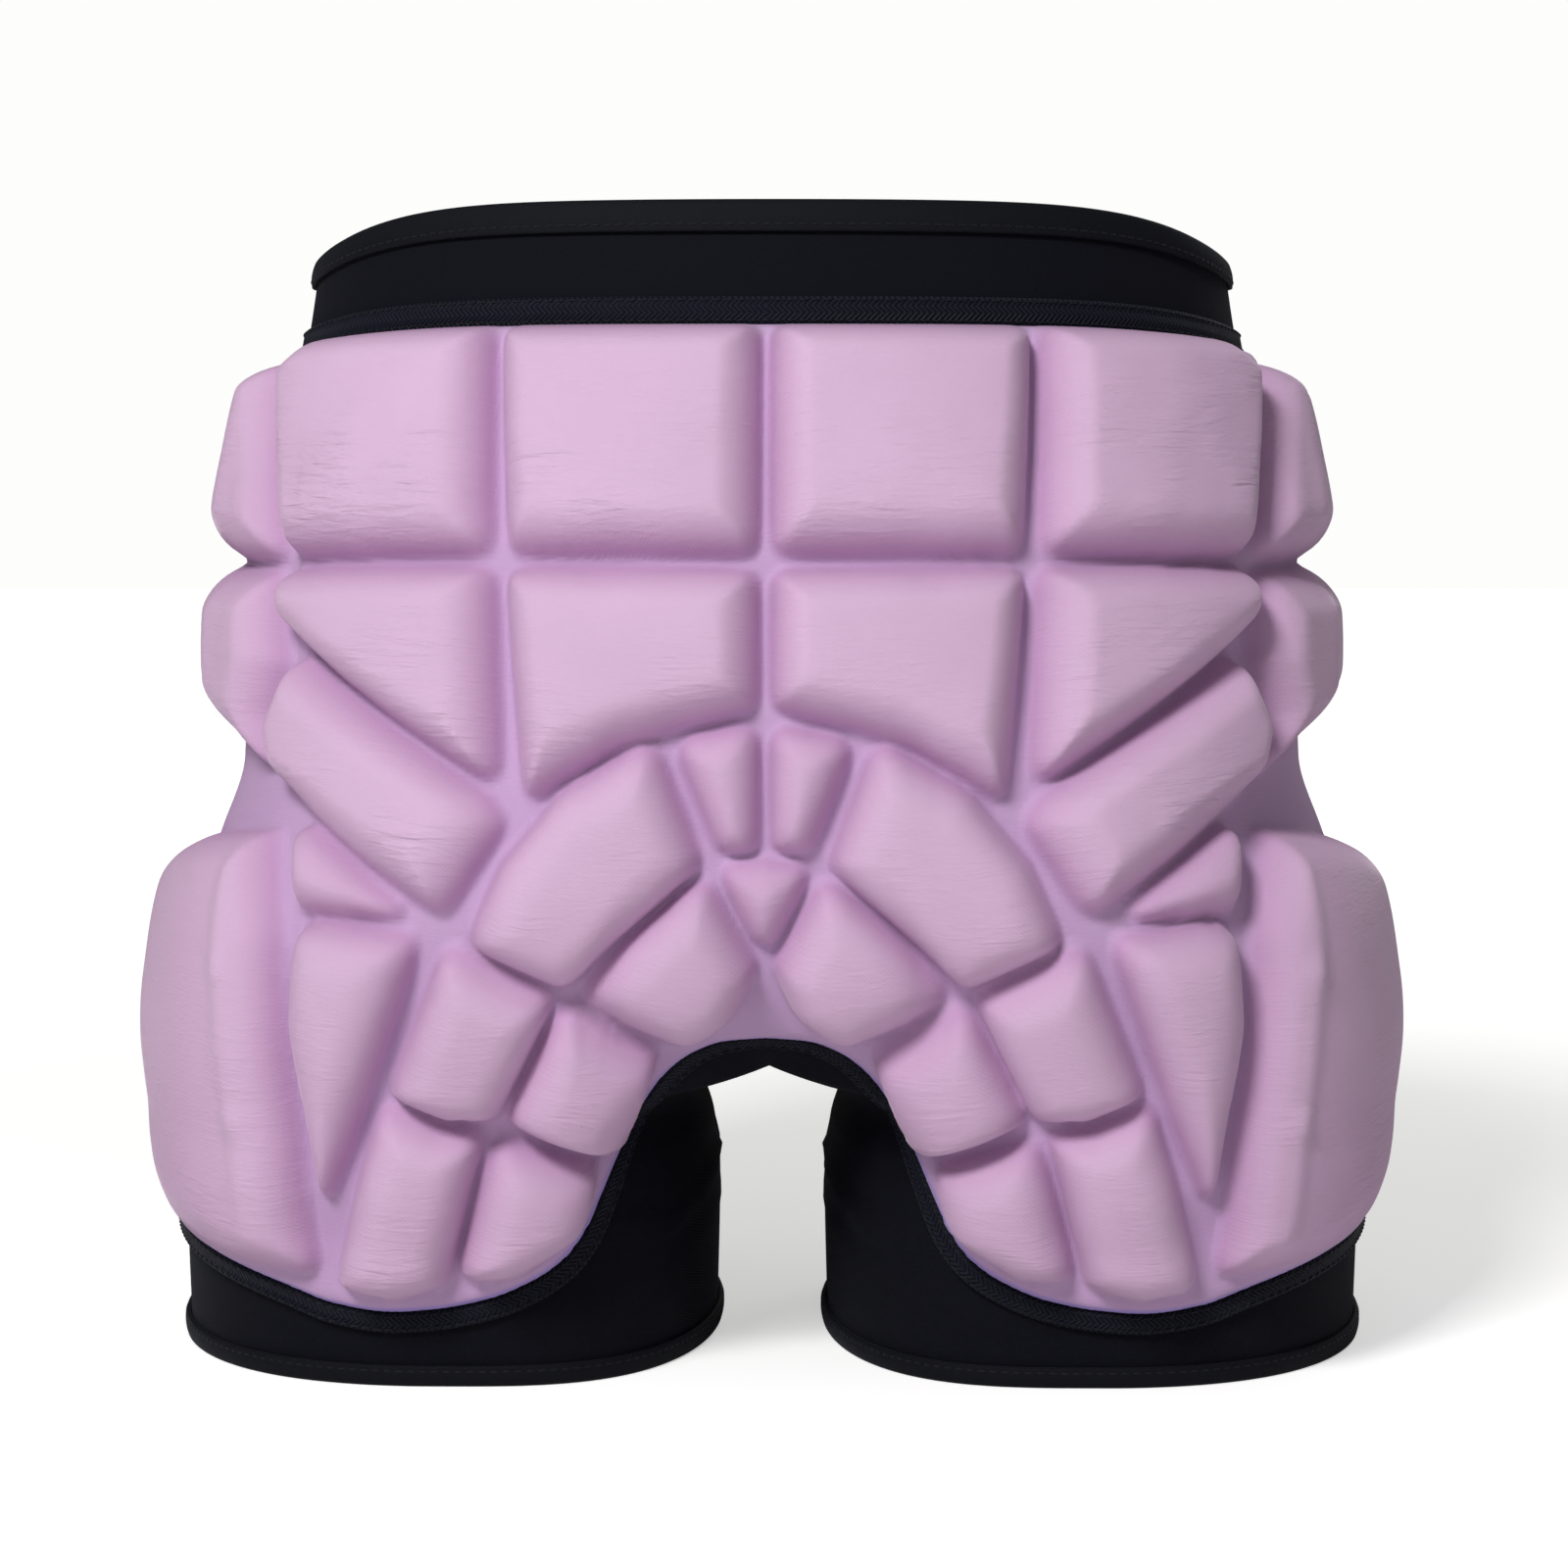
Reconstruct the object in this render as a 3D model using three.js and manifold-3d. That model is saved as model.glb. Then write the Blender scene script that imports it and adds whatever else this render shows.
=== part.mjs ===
// Padded shorts that guard the tailbone, hips and outer thighs.
// Black stretch shorts carry one moulded foam shell whose raised blocks are parted by narrow flat grooves.
// Millimetres, +Z up, the wearer's back towards -Y, standing on the two leg hems at Z = 0.

import * as THREE from 'three';
import Module from 'manifold-3d';
import { mergeVertices } from 'three/addons/utils/BufferGeometryUtils.js';

const wasm = await Module();
wasm.setup();

// Main sizes of the garment
const HEIGHT = 336;
const HALF_WIDTH = 179;
const BACK_DEPTH = 131;
const FRONT_DEPTH = 102;
const QUARTER_GIRTH = 235;
const WAIST_DIP = 15;
const DIP_START = 0.71;

// Cloth, foam and trim
const FABRIC = 2;
const LAYER_GAP = 1.2;
const SEAM_GAP = 0.3;
const EDGE_GAP = 0.6;
const SHEET = 4;
const BLOCK_RISE = 14;
const WALL_WIDTH = 8;
const BINDING_WALL = 1;
const WAIST_BINDING = 9;
const HEM_BINDING = 6;
const TAPE_WIDTH = 8;
const TAPE_THICK = 1.2;
const EDGE_TAPE_WIDTH = 6;

// How finely curves are cut, in millimetres but for the columns of one half
const HALF_COLUMNS = 20;
const RING_STEP = 19;
const LONGEST_FLOOR_EDGE = 38;
const CORNER_RADIUS = 5;

// Horizontal sections from the hems up. Height is a share of HEIGHT.
// Outer, apex and inner are the outer edge, the deepest place and the inner edge of the right half,
// as shares of HALF_WIDTH: an inner edge above 0 is a separate leg, below 0 the halves run together.
// Back and front are shares of the two depths. Cleft is how widely the middle of the back is smoothed.
const SECTIONS = [
  { height: 0.0, outer: 0.995, apex: 0.54, inner: 0.095, back: 0.725, front: 0.86, cleft: 0 },
  { height: 0.134, outer: 1.0, apex: 0.54, inner: 0.09, back: 0.77, front: 0.9, cleft: 0 },
  { height: 0.185, outer: 0.995, apex: 0.54, inner: 0.1, back: 0.81, front: 0.92, cleft: 0 },
  { height: 0.22, outer: 0.985, apex: 0.535, inner: 0.117, back: 0.83, front: 0.932, cleft: 0 },
  { height: 0.235, outer: 0.9825, apex: 0.532, inner: 0.106, back: 0.839, front: 0.938, cleft: 0 },
  { height: 0.244, outer: 0.981, apex: 0.53, inner: 0.067, back: 0.845, front: 0.9416, cleft: 0 },
  { height: 0.25, outer: 0.98, apex: 0.5287, inner: 0.0, back: 0.849, front: 0.944, cleft: 0 },
  { height: 0.262, outer: 0.978, apex: 0.526, inner: -0.067, back: 0.857, front: 0.9485, cleft: 0 },
  { height: 0.289, outer: 0.9735, apex: 0.52, inner: -0.168, back: 0.8775, front: 0.957, cleft: 0.035 },
  { height: 0.327, outer: 0.964, apex: 0.49, inner: -0.28, back: 0.912, front: 0.967, cleft: 0.08 },
  { height: 0.387, outer: 0.945, apex: 0.425, inner: -0.447, back: 0.962, front: 0.98, cleft: 0.134 },
  { height: 0.446, outer: 0.906, apex: 0.324, inner: -0.615, back: 0.99, front: 0.99, cleft: 0.134 },
  { height: 0.52, outer: 0.862, apex: 0.2, inner: -0.754, back: 1.0, front: 1.0, cleft: 0.134 },
  { height: 0.61, outer: 0.857, apex: 0.09, inner: -0.838, back: 0.99, front: 1.0, cleft: 0.134 },
  { height: 0.7, outer: 0.853, apex: 0.022, inner: -0.853, back: 0.962, front: 0.99, cleft: 0.134 },
  { height: 0.789, outer: 0.823, apex: 0.0, inner: -0.823, back: 0.9, front: 0.97, cleft: 0.134 },
  { height: 0.893, outer: 0.78, apex: 0.0, inner: -0.78, back: 0.817, front: 0.93, cleft: 0.134 },
  { height: 1.0, outer: 0.75, apex: 0.0, inner: -0.75, back: 0.745, front: 0.885, cleft: 0.134 },
];
// How the sections are drawn: the crotch's height, and how full and how blunt a section's two sides are
const CROTCH = 0.25;
const FULLNESS = 0.12;
const INNER_BLUNTNESS = 2.8;
const LEG_MIDDLE = 0.53;
const NORMAL_STEP = 0.014;

// Rows of the shorts' fabric, as shares of HEIGHT between the hem and the waist
const FABRIC_ROWS = [
  0.09, 0.17, 0.21, 0.235, 0.246, CROTCH, 0.257, 0.27, 0.29, 0.315, 0.35, 0.395, 0.44, 0.49, 0.55,
  0.62, 0.7, 0.79, 0.893,
];

// The shell's outline from the middle of the back outwards. Across 0 is the middle, 1 the side line.
// Low and top are shares of HEIGHT.
const SHELL_EDGE = [
  { across: 0.0, low: 0.313, top: 0.894 },
  { across: 0.045, low: 0.31, top: 0.894 },
  { across: 0.078, low: 0.3, top: 0.894 },
  { across: 0.106, low: 0.282, top: 0.894 },
  { across: 0.13, low: 0.256, top: 0.894 },
  { across: 0.15, low: 0.224, top: 0.894 },
  { across: 0.165, low: 0.192, top: 0.894 },
  { across: 0.178, low: 0.164, top: 0.894 },
  { across: 0.191, low: 0.138, top: 0.894 },
  { across: 0.212, low: 0.114, top: 0.894 },
  { across: 0.243, low: 0.096, top: 0.894 },
  { across: 0.292, low: 0.08, top: 0.894 },
  { across: 0.352, low: 0.071, top: 0.894 },
  { across: 0.41, low: 0.068, top: 0.894 },
  { across: 0.48, low: 0.073, top: 0.894 },
  { across: 0.55, low: 0.085, top: 0.894 },
  { across: 0.62, low: 0.094, top: 0.894 },
  { across: 0.7, low: 0.102, top: 0.894 },
  { across: 0.78, low: 0.109, top: 0.894 },
  { across: 0.86, low: 0.116, top: 0.894 },
  { across: 0.94, low: 0.123, top: 0.892 },
  { across: 1.02, low: 0.131, top: 0.888 },
  { across: 1.1, low: 0.145, top: 0.878 },
  { across: 1.18, low: 0.178, top: 0.855 },
  { across: 1.24, low: 0.23, top: 0.82 },
];
const SHELL_ROWS = [0, 0.05, 0.1, 0.16, 0.23, 0.31, 0.41, 0.53, 0.67, 0.83, 1];

// The raised blocks of one half. Corners are places across and up, in the shares used for the outline.
// Rise and wall are shares of BLOCK_RISE and WALL_WIDTH.
const BLOCKS = [
  {
    name: 'waist_inner', rise: 1, wall: 1,
    corners: [[0.01, 0.708], [0.288, 0.707], [0.332, 0.888], [0.01, 0.888]],
  },
  {
    name: 'waist_outer', rise: 1, wall: 1,
    corners: [[0.316, 0.707], [0.631, 0.703], [0.735, 0.864], [0.66, 0.888], [0.352, 0.888]],
  },
  {
    name: 'waist_wing', rise: 0.9, wall: 1,
    corners: [
      [0.658, 0.7], [1.08, 0.702], [1.15, 0.75], [1.14, 0.81], [1.02, 0.862], [0.768, 0.872],
    ],
  },
  {
    name: 'hip_inner', rise: 1, wall: 1,
    corners: [
      [0.01, 0.587], [0.104, 0.571], [0.17, 0.553], [0.22, 0.533], [0.268, 0.509], [0.292, 0.692],
      [0.01, 0.692],
    ],
  },
  {
    name: 'hip_outer', rise: 1, wall: 1,
    corners: [[0.303, 0.52], [0.643, 0.648], [0.641, 0.688], [0.314, 0.692]],
  },
  {
    name: 'hip_wing', rise: 0.95, wall: 1.2,
    corners: [
      [0.665, 0.518], [0.74, 0.54], [0.84, 0.556], [1.02, 0.575], [1.12, 0.61], [1.13, 0.652],
      [1.06, 0.685], [0.668, 0.685], [0.66, 0.632], [0.652, 0.612], [0.684, 0.562],
    ],
  },
  {
    name: 'hip_diagonal', rise: 1, wall: 1,
    corners: [
      [0.349, 0.419], [0.634, 0.512], [0.66, 0.556], [0.605, 0.619], [0.318, 0.51], [0.296, 0.49],
    ],
  },
  {
    name: 'thigh_small', rise: 0.85, wall: 0.9,
    corners: [[0.385, 0.414], [0.54, 0.412], [0.578, 0.48]],
  },
  {
    name: 'thigh_long', rise: 0.95, wall: 0.95,
    corners: [[0.477, 0.168], [0.525, 0.33], [0.522, 0.4], [0.375, 0.399]],
  },
  {
    name: 'thigh_side', rise: 0.85, wall: 1.5, taper: true,
    corners: [
      [0.49, 0.105], [0.6, 0.108], [0.756, 0.122], [0.92, 0.138], [1.06, 0.168], [1.15, 0.235],
      [1.17, 0.32], [1.11, 0.385], [0.98, 0.425], [0.8, 0.452], [0.625, 0.466], [0.565, 0.392],
      [0.55, 0.33], [0.522, 0.23],
    ],
  },
  {
    name: 'seat_outer', rise: 1, wall: 1,
    corners: [
      [0.072, 0.462], [0.139, 0.418], [0.21, 0.366], [0.316, 0.399], [0.286, 0.458], [0.227, 0.514],
      [0.127, 0.556],
    ],
  },
  {
    name: 'seat_inner', rise: 1, wall: 1,
    corners: [
      [0.012, 0.382], [0.036, 0.346], [0.09, 0.318], [0.15, 0.337], [0.192, 0.36], [0.13, 0.408],
      [0.065, 0.45],
    ],
  },
  {
    name: 'leg_upper_outer', rise: 1, wall: 1,
    corners: [[0.283, 0.25], [0.339, 0.25], [0.402, 0.27], [0.34, 0.394], [0.222, 0.357]],
  },
  {
    name: 'leg_upper_inner', rise: 1, wall: 1,
    corners: [
      [0.116, 0.306], [0.157, 0.241], [0.195, 0.212], [0.27, 0.249], [0.208, 0.35],
    ],
  },
  {
    name: 'leg_lower_outer', rise: 1, wall: 1,
    corners: [[0.338, 0.101], [0.396, 0.087], [0.463, 0.096], [0.41, 0.26], [0.345, 0.239], [0.3, 0.234]],
  },
  {
    name: 'leg_lower_inner', rise: 1, wall: 1,
    corners: [
      [0.205, 0.143], [0.263, 0.106], [0.32, 0.103], [0.282, 0.228], [0.189, 0.197],
    ],
  },
  {
    name: 'tail_wedge', rise: 0.8, wall: 0.85,
    corners: [[0.01, 0.474], [0.048, 0.474], [0.099, 0.557], [0.01, 0.57]],
  },
];
const TAIL_DROP = {
  name: 'tail_drop', rise: 0.75, wall: 0.9,
  corners: [[0, 0.39], [0.048, 0.459], [0, 0.464], [-0.048, 0.459]],
};
// The thigh pad thins towards the leg hem: its rise at the side, as a share of its full one, by height.
// The thinning sets in between these two places across.
const THIGH_TAPER = [
  { height: 0.105, rise: 0.12 },
  { height: 0.14, rise: 0.24 },
  { height: 0.184, rise: 0.46 },
  { height: 0.23, rise: 0.72 },
  { height: 0.275, rise: 0.93 },
  { height: 0.32, rise: 1 },
  { height: 0.47, rise: 1 },
];
const TAPER_FROM = 0.55;
const TAPER_TO = 0.9;
// A block's rings from its foot to its crown: how far in, as a share of its wall, and how high.
const WALL_RINGS = [
  { inset: 0, rise: 0 },
  { inset: 0.42, rise: 0.72 },
  { inset: 1, rise: 1 },
];
const CROWN_SWELL = 1.05;
const SMALL_BLOCK = 42;

// Colours and surfaces
const LOOKS = {
  shell: { color: 0xdcc4e4, roughness: 0.85, metalness: 0 },
  fabric: { color: 0x0e1014, roughness: 0.9, metalness: 0 },
  binding: { color: 0x16181c, roughness: 0.8, metalness: 0 },
  tape: { color: 0x22242c, roughness: 0.75, metalness: 0 },
};

// One column of a table at a place along it: a smooth curve through the rows that never overshoots.
function along(table, key, column, place) {
  const last = table.length - 1;
  const at = Math.min(Math.max(place, table[0][key]), table[last][key]);
  let i = 0;
  while (i < last - 1 && at > table[i + 1][key]) {
    i += 1;
  }
  const slope = (k) => (table[k + 1][column] - table[k][column]) / (table[k + 1][key] - table[k][key]);
  const tangent = (k) => {
    if (k === 0 || k === last) {
      return slope(Math.min(k, last - 1));
    }
    const product = slope(k - 1) * slope(k);
    return product > 0 ? (2 * product) / (slope(k - 1) + slope(k)) : 0;
  };
  const span = table[i + 1][key] - table[i][key];
  const t = (at - table[i][key]) / span;
  return (
    (1 + 2 * t) * (1 - t) ** 2 * table[i][column] +
    t * (1 - t) ** 2 * span * tangent(i) +
    t * t * (3 - 2 * t) * table[i + 1][column] -
    t * t * (1 - t) * span * tangent(i + 1)
  );
}

// The section at a height share, in millimetres.
function sectionAt(share) {
  const width = (column) => HALF_WIDTH * along(SECTIONS, 'height', column, share);
  return {
    outer: width('outer'),
    apex: width('apex'),
    inner: width('inner'),
    cleft: width('cleft'),
    back: BACK_DEPTH * along(SECTIONS, 'height', 'back', share),
    front: FRONT_DEPTH * along(SECTIONS, 'height', 'front', share),
  };
}

// The waist stands highest at the middle of the back, so upper rows sink towards the sides and front.
function settled(across, share) {
  const ramp = Math.max(0, (share - DIP_START) / (1 - DIP_START));
  const turn = Math.sin((Math.min(Math.abs(across), 1) * Math.PI) / 2);
  return share - (WAIST_DIP / HEIGHT) * ramp ** 2 * turn ** 6;
}

// A point of the fabric's outer face. Across runs 0 at the back, 1 at the side, 2 at the front.
function fabricPoint(across, share) {
  const level = settled(across, share);
  const section = sectionAt(level);
  const turn = Math.abs(across);
  const x = section.outer * Math.sin((turn * Math.PI) / 2);
  const smoothX = Math.hypot(x, section.cleft);
  let offCentre = (x - section.apex) / (section.outer - section.apex);
  if (smoothX < section.apex) {
    offCentre = (smoothX - section.apex) / (section.apex - section.inner);
  } else if (x < section.apex) {
    offCentre = 0;
  }
  offCentre = Math.min(Math.max(offCentre, -1), 1);
  const bluntness = offCentre < 0 ? INNER_BLUNTNESS : 2;
  const fullness = Math.sqrt(1 - Math.abs(offCentre) ** bluntness) * (1 + FULLNESS * offCentre ** 2);
  const y = turn <= 1 ? -section.back * fullness : section.front * fullness;
  return new THREE.Vector3(Math.sign(across) * x, y, level * HEIGHT);
}

// The place across at a share of the way round one leg, or round one half above the crotch:
// 0 at the inseam, 1 at the side and 2 at the inseam again, past the front.
function acrossAt(round, share) {
  const section = sectionAt(share);
  const start = Math.max(section.inner, 0);
  const middle = LEG_MIDDLE * section.outer;
  const turn = Math.PI * (round <= 1 ? round : 2 - round);
  const x = turn < Math.PI / 2
    ? start + (middle - start) * (1 - Math.cos(turn))
    : middle - (section.outer - middle) * Math.cos(turn);
  const across = (Math.asin(Math.min(1, x / section.outer)) * 2) / Math.PI;
  return round <= 1 ? across : 2 - across;
}

// A point of one half by its way round, lifted off the fabric. Side is 1 for the right half, -1 for the left.
function roundPoint(side, round, share, lift) {
  const place = (r, s) => {
    const point = fabricPoint(acrossAt(r, s), s);
    point.x *= side;
    return point;
  };
  const point = place(round, share);
  const step = 0.02;
  const before = place(Math.max(0, round - step), share);
  const after = place(Math.min(2, round + step), share);
  const rise = place(round, share + 0.001).sub(place(round, share - 0.001));
  const normal = after.sub(before).cross(rise).multiplyScalar(side);
  if (Math.abs(point.x) < 0.01) {
    normal.x = 0;
  }
  return point.addScaledVector(normal.normalize(), lift);
}

// A point of the shell's chart, lifted off the fabric along its normal.
function chartPoint(across, share, lift) {
  const step = NORMAL_STEP;
  const run = fabricPoint(across + step, share).sub(fabricPoint(across - step, share));
  const rise = fabricPoint(across, share + step).sub(fabricPoint(across, share - step));
  if (across === 0) {
    run.set(1, 0, 0);
  }
  return fabricPoint(across, share).addScaledVector(run.cross(rise).normalize(), lift);
}

// How many millimetres one whole share covers at a place of the chart, across and up.
function chartScale(across, share) {
  const step = 0.01;
  const run = fabricPoint(across + step, share).distanceTo(fabricPoint(across - step, share));
  const rise = fabricPoint(across, share + step).distanceTo(fabricPoint(across, share - step));
  return new THREE.Vector2(run / (2 * step), rise / (2 * step));
}

// A closed body from triangles given as three points each, turned so that its faces point out.
function bodyFrom(triangles) {
  let volume = 0;
  const cross = new THREE.Vector3();
  for (const [a, b, c] of triangles) {
    volume += a.dot(cross.crossVectors(b, c));
  }
  const points = triangles.flatMap(([a, b, c]) => (volume > 0 ? [a, b, c] : [a, c, b]));
  return mergeVertices(new THREE.BufferGeometry().setFromPoints(points), 1e-4);
}

// The two triangles of a four-sided patch, left out where they have no area.
function patch(a, b, c, d) {
  const thin = 1e-6;
  return [[a, b, c], [a, c, d]].filter(([p, q, r]) => {
    return p.distanceTo(q) > thin && q.distanceTo(r) > thin && r.distanceTo(p) > thin;
  });
}

// A closed loop of stations, each a closed ring of points, skinned into a body.
function sweptLoop(stations) {
  const triangles = [];
  stations.forEach((ring, i) => {
    const next = stations[(i + 1) % stations.length];
    ring.forEach((point, k) => {
      const m = (k + 1) % ring.length;
      triangles.push(...patch(point, next[k], next[m], ring[m]));
    });
  });
  return bodyFrom(triangles);
}

// The shorts' fabric: one grid per half, joined down the middle, given its thickness inwards and
// pressed flat where the shell seats on it.
function shortsFabric() {
  const hem = (SEAM_GAP + BINDING_WALL) / HEIGHT;
  const waist = 1 - (SEAM_GAP + BINDING_WALL) / HEIGHT;
  const rows = [hem, ...FABRIC_ROWS, waist];
  const face = [];
  for (const side of [1, -1]) {
    const grid = rows.map((share) => {
      const row = [];
      for (let column = 0; column <= HALF_COLUMNS; column += 1) {
        row.push(roundPoint(side, columnAt(column), share, 0));
      }
      return row;
    });
    for (let r = 0; r < rows.length - 1; r += 1) {
      for (let c = 0; c < HALF_COLUMNS; c += 1) {
        const [low, beside, across, above] = [
          grid[r][c], grid[r][c + 1], grid[r + 1][c + 1], grid[r + 1][c],
        ];
        face.push(...(side > 0 ? patch(low, beside, across, above) : patch(low, above, across, beside)));
      }
    }
  }
  return cutAway(thickened(face, FABRIC), shellRoom());
}

// An open face of triangles given a thickness behind it, with a rim round each open edge.
function thickened(face, thickness) {
  const outer = mergeVertices(new THREE.BufferGeometry().setFromPoints(face.flat()), 1e-3);
  outer.computeVertexNormals();
  const { position, normal } = outer.attributes;
  const front = [];
  const behind = [];
  for (let i = 0; i < position.count; i += 1) {
    const point = new THREE.Vector3().fromBufferAttribute(position, i);
    const inward = new THREE.Vector3().fromBufferAttribute(normal, i);
    front.push(point);
    behind.push(point.clone().addScaledVector(inward, -thickness));
  }
  const index = Array.from(outer.index.array);
  const edges = new Map();
  const triangles = [];
  for (let i = 0; i < index.length; i += 3) {
    const [a, b, c] = index.slice(i, i + 3);
    triangles.push([front[a], front[b], front[c]], [behind[a], behind[c], behind[b]]);
    for (const [p, q] of [[a, b], [b, c], [c, a]]) {
      if (!edges.delete(`${q} ${p}`)) {
        edges.set(`${p} ${q}`, [p, q]);
      }
    }
  }
  for (const [p, q] of edges.values()) {
    triangles.push(...patch(front[q], front[p], behind[p], behind[q]));
  }
  return bodyFrom(triangles);
}

// The share of the way round at which a column stands.
function columnAt(i) {
  return (2 * i) / HALF_COLUMNS;
}

// The way round the whole waist, as pairs of half and share of the way round.
function waistStations() {
  const right = Array.from({ length: HALF_COLUMNS + 1 }, (_, i) => [1, columnAt(i)]);
  const left = right.slice(1, -1).reverse().map(([, round]) => [-1, round]);
  return [...right, ...left];
}

// The way round one leg.
function legStations(side) {
  return Array.from({ length: HALF_COLUMNS }, (_, i) => [side, columnAt(i)]);
}

// A folded binding: a strip that wraps the fabric's edge, open towards the fabric, its edge lying level.
function foldedBinding(stations, edge, reach) {
  const fold = Math.sign(reach) * BINDING_WALL;
  const seat = SEAM_GAP + BINDING_WALL;
  const profile = [
    [seat, edge], [seat, edge + reach], [SEAM_GAP, edge + reach], [SEAM_GAP, edge + fold],
    [-FABRIC - SEAM_GAP, edge + fold], [-FABRIC - SEAM_GAP, edge + reach],
    [-FABRIC - seat, edge + reach], [-FABRIC - seat, edge],
  ];
  return sweptLoop(stations.map(([side, round]) => profile.map(([lift, height]) => {
    const point = roundPoint(side, round, height / HEIGHT, lift);
    point.z = roundPoint(side, round, height / HEIGHT, 0).z;
    return point;
  })));
}

// The flat tape sewn round the waist just above the shell.
function waistTape() {
  const low = SHELL_EDGE[0].top * HEIGHT + SEAM_GAP;
  const profile = [
    [SEAM_GAP, low], [SEAM_GAP + TAPE_THICK, low],
    [SEAM_GAP + TAPE_THICK, low + TAPE_WIDTH], [SEAM_GAP, low + TAPE_WIDTH],
  ];
  return sweptLoop(waistStations().map(([side, round]) => {
    return profile.map(([lift, height]) => roundPoint(side, round, height / HEIGHT, lift));
  }));
}

// The shell's outline columns from the left front edge round the back to the right front edge.
function shellColumns() {
  const left = SHELL_EDGE.slice(1).reverse().map((column) => ({ ...column, across: -column.across }));
  return [...left, ...SHELL_EDGE];
}

// The places of the chart at a distance outside the shell's lower edge, one for each column.
function besideLowEdge(distance) {
  const columns = shellColumns();
  const steps = 4;
  return columns.map(({ across, low }, i) => {
    const before = columns[Math.max(0, i - 1)];
    const after = columns[Math.min(columns.length - 1, i + 1)];
    const scale = chartScale(across, low);
    const heading = new THREE.Vector2(
      (after.across - before.across) * scale.x,
      (after.low - before.low) * scale.y,
    ).normalize();
    const place = new THREE.Vector2(across, low);
    for (let k = 0; k < steps; k += 1) {
      const here = chartScale(place.x, place.y);
      place.x += ((heading.y * distance) / steps) / here.x;
      place.y -= ((heading.x * distance) / steps) / here.y;
    }
    return [place.x, place.y];
  });
}

// The tape sewn along the shell's lower edge, from one front edge over the arch to the other.
function edgeTape() {
  const rows = [besideLowEdge(EDGE_GAP + EDGE_TAPE_WIDTH), besideLowEdge(EDGE_GAP)];
  const face = (lift) => rows.map((row) => row.map((place) => chartPoint(...place, lift)));
  return skinnedSlab(face(LAYER_GAP), face(LAYER_GAP + TAPE_THICK));
}

// The places of the chart that the shell's sheet covers, row by row from its lower edge.
function shellPlaces() {
  const columns = shellColumns();
  return SHELL_ROWS.map((row) => columns.map(({ across, low, top }) => [across, low + (top - low) * row]));
}

// The room that the shell and its edge tape take, down to one seam gap beneath them.
function shellRoom() {
  const rows = [
    besideLowEdge(EDGE_GAP + EDGE_TAPE_WIDTH + SEAM_GAP),
    besideLowEdge(EDGE_GAP + EDGE_TAPE_WIDTH),
    besideLowEdge(EDGE_GAP),
    ...shellPlaces(),
  ];
  const sheet = (lift) => rows.map((row) => row.map((place) => chartPoint(...place, lift)));
  return skinnedSlab(sheet(LAYER_GAP - SEAM_GAP), sheet(LAYER_GAP + SHEET));
}

// One cell of a shell grid, cut from its low inner corner so that both halves mirror each other.
function gridCell(grid, r, c) {
  const [a, b, d, e] = [grid[r][c], grid[r][c + 1], grid[r + 1][c + 1], grid[r + 1][c]];
  return c < (grid[r].length - 1) / 2 ? patch(b, d, e, a) : patch(a, b, d, e);
}

// A slab between two grids of points, with a rim all round.
function skinnedSlab(under, over) {
  const last = under.length - 1;
  const end = under[0].length - 1;
  const triangles = [];
  for (let r = 0; r < last; r += 1) {
    for (let c = 0; c < end; c += 1) {
      triangles.push(...gridCell(under, r, c).map(([p, q, t]) => [p, t, q]));
      triangles.push(...gridCell(over, r, c));
    }
    triangles.push(...patch(under[r][0], over[r][0], over[r + 1][0], under[r + 1][0]));
    triangles.push(...patch(under[r][end], under[r + 1][end], over[r + 1][end], over[r][end]));
  }
  for (let c = 0; c < end; c += 1) {
    triangles.push(...patch(under[0][c], under[0][c + 1], over[0][c + 1], over[0][c]));
    triangles.push(...patch(under[last][c], over[last][c], over[last][c + 1], under[last][c + 1]));
  }
  return bodyFrom(triangles);
}

// One body cut out of another.
function cutAway(body, room) {
  const solid = (geometry) => new wasm.Manifold(new wasm.Mesh({
    numProp: 3,
    vertProperties: new Float32Array(geometry.attributes.position.array),
    triVerts: new Uint32Array(geometry.index.array),
  }));
  const mesh = solid(body).subtract(solid(room)).getMesh();
  const geometry = new THREE.BufferGeometry();
  geometry.setAttribute('position', new THREE.BufferAttribute(mesh.vertProperties, 3));
  geometry.setIndex(new THREE.BufferAttribute(mesh.triVerts, 1));
  return geometry;
}

// A block's foot: its corners rounded and its long sides cut into short pieces, in millimetres
// about its middle, counter-clockwise seen from outside.
function blockFoot(corners, scale, middle) {
  const flat = corners.map(([across, share]) => {
    return new THREE.Vector2((across - middle.x) * scale.x, (share - middle.y) * scale.y);
  });
  const foot = [];
  flat.forEach((corner, i) => {
    const before = flat[(i + flat.length - 1) % flat.length];
    const after = flat[(i + 1) % flat.length];
    const nextAfter = flat[(i + 2) % flat.length];
    const turn = Math.abs(bend(before, corner, after));
    const cut = roundingAt(before, corner, after, turn);
    const enter = corner.clone().lerp(before, cut / corner.distanceTo(before));
    const leave = corner.clone().lerp(after, cut / corner.distanceTo(after));
    if (turn > 1.2) {
      foot.push(enter, enter.clone().add(leave).multiplyScalar(0.25).addScaledVector(corner, 0.5), leave);
    } else if (turn > 0.5) {
      foot.push(enter, leave);
    } else {
      foot.push(corner);
    }
    const nextTurn = Math.abs(bend(corner, after, nextAfter));
    const nextCut = nextTurn > 0.5 ? roundingAt(corner, after, nextAfter, nextTurn) : 0;
    const from = foot[foot.length - 1];
    const to = after.clone().lerp(corner, nextCut / after.distanceTo(corner));
    const pieces = Math.max(1, Math.round(from.distanceTo(to) / RING_STEP));
    for (let k = 1; k < pieces; k += 1) {
      foot.push(from.clone().lerp(to, k / pieces));
    }
  });
  return foot;
}

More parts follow.
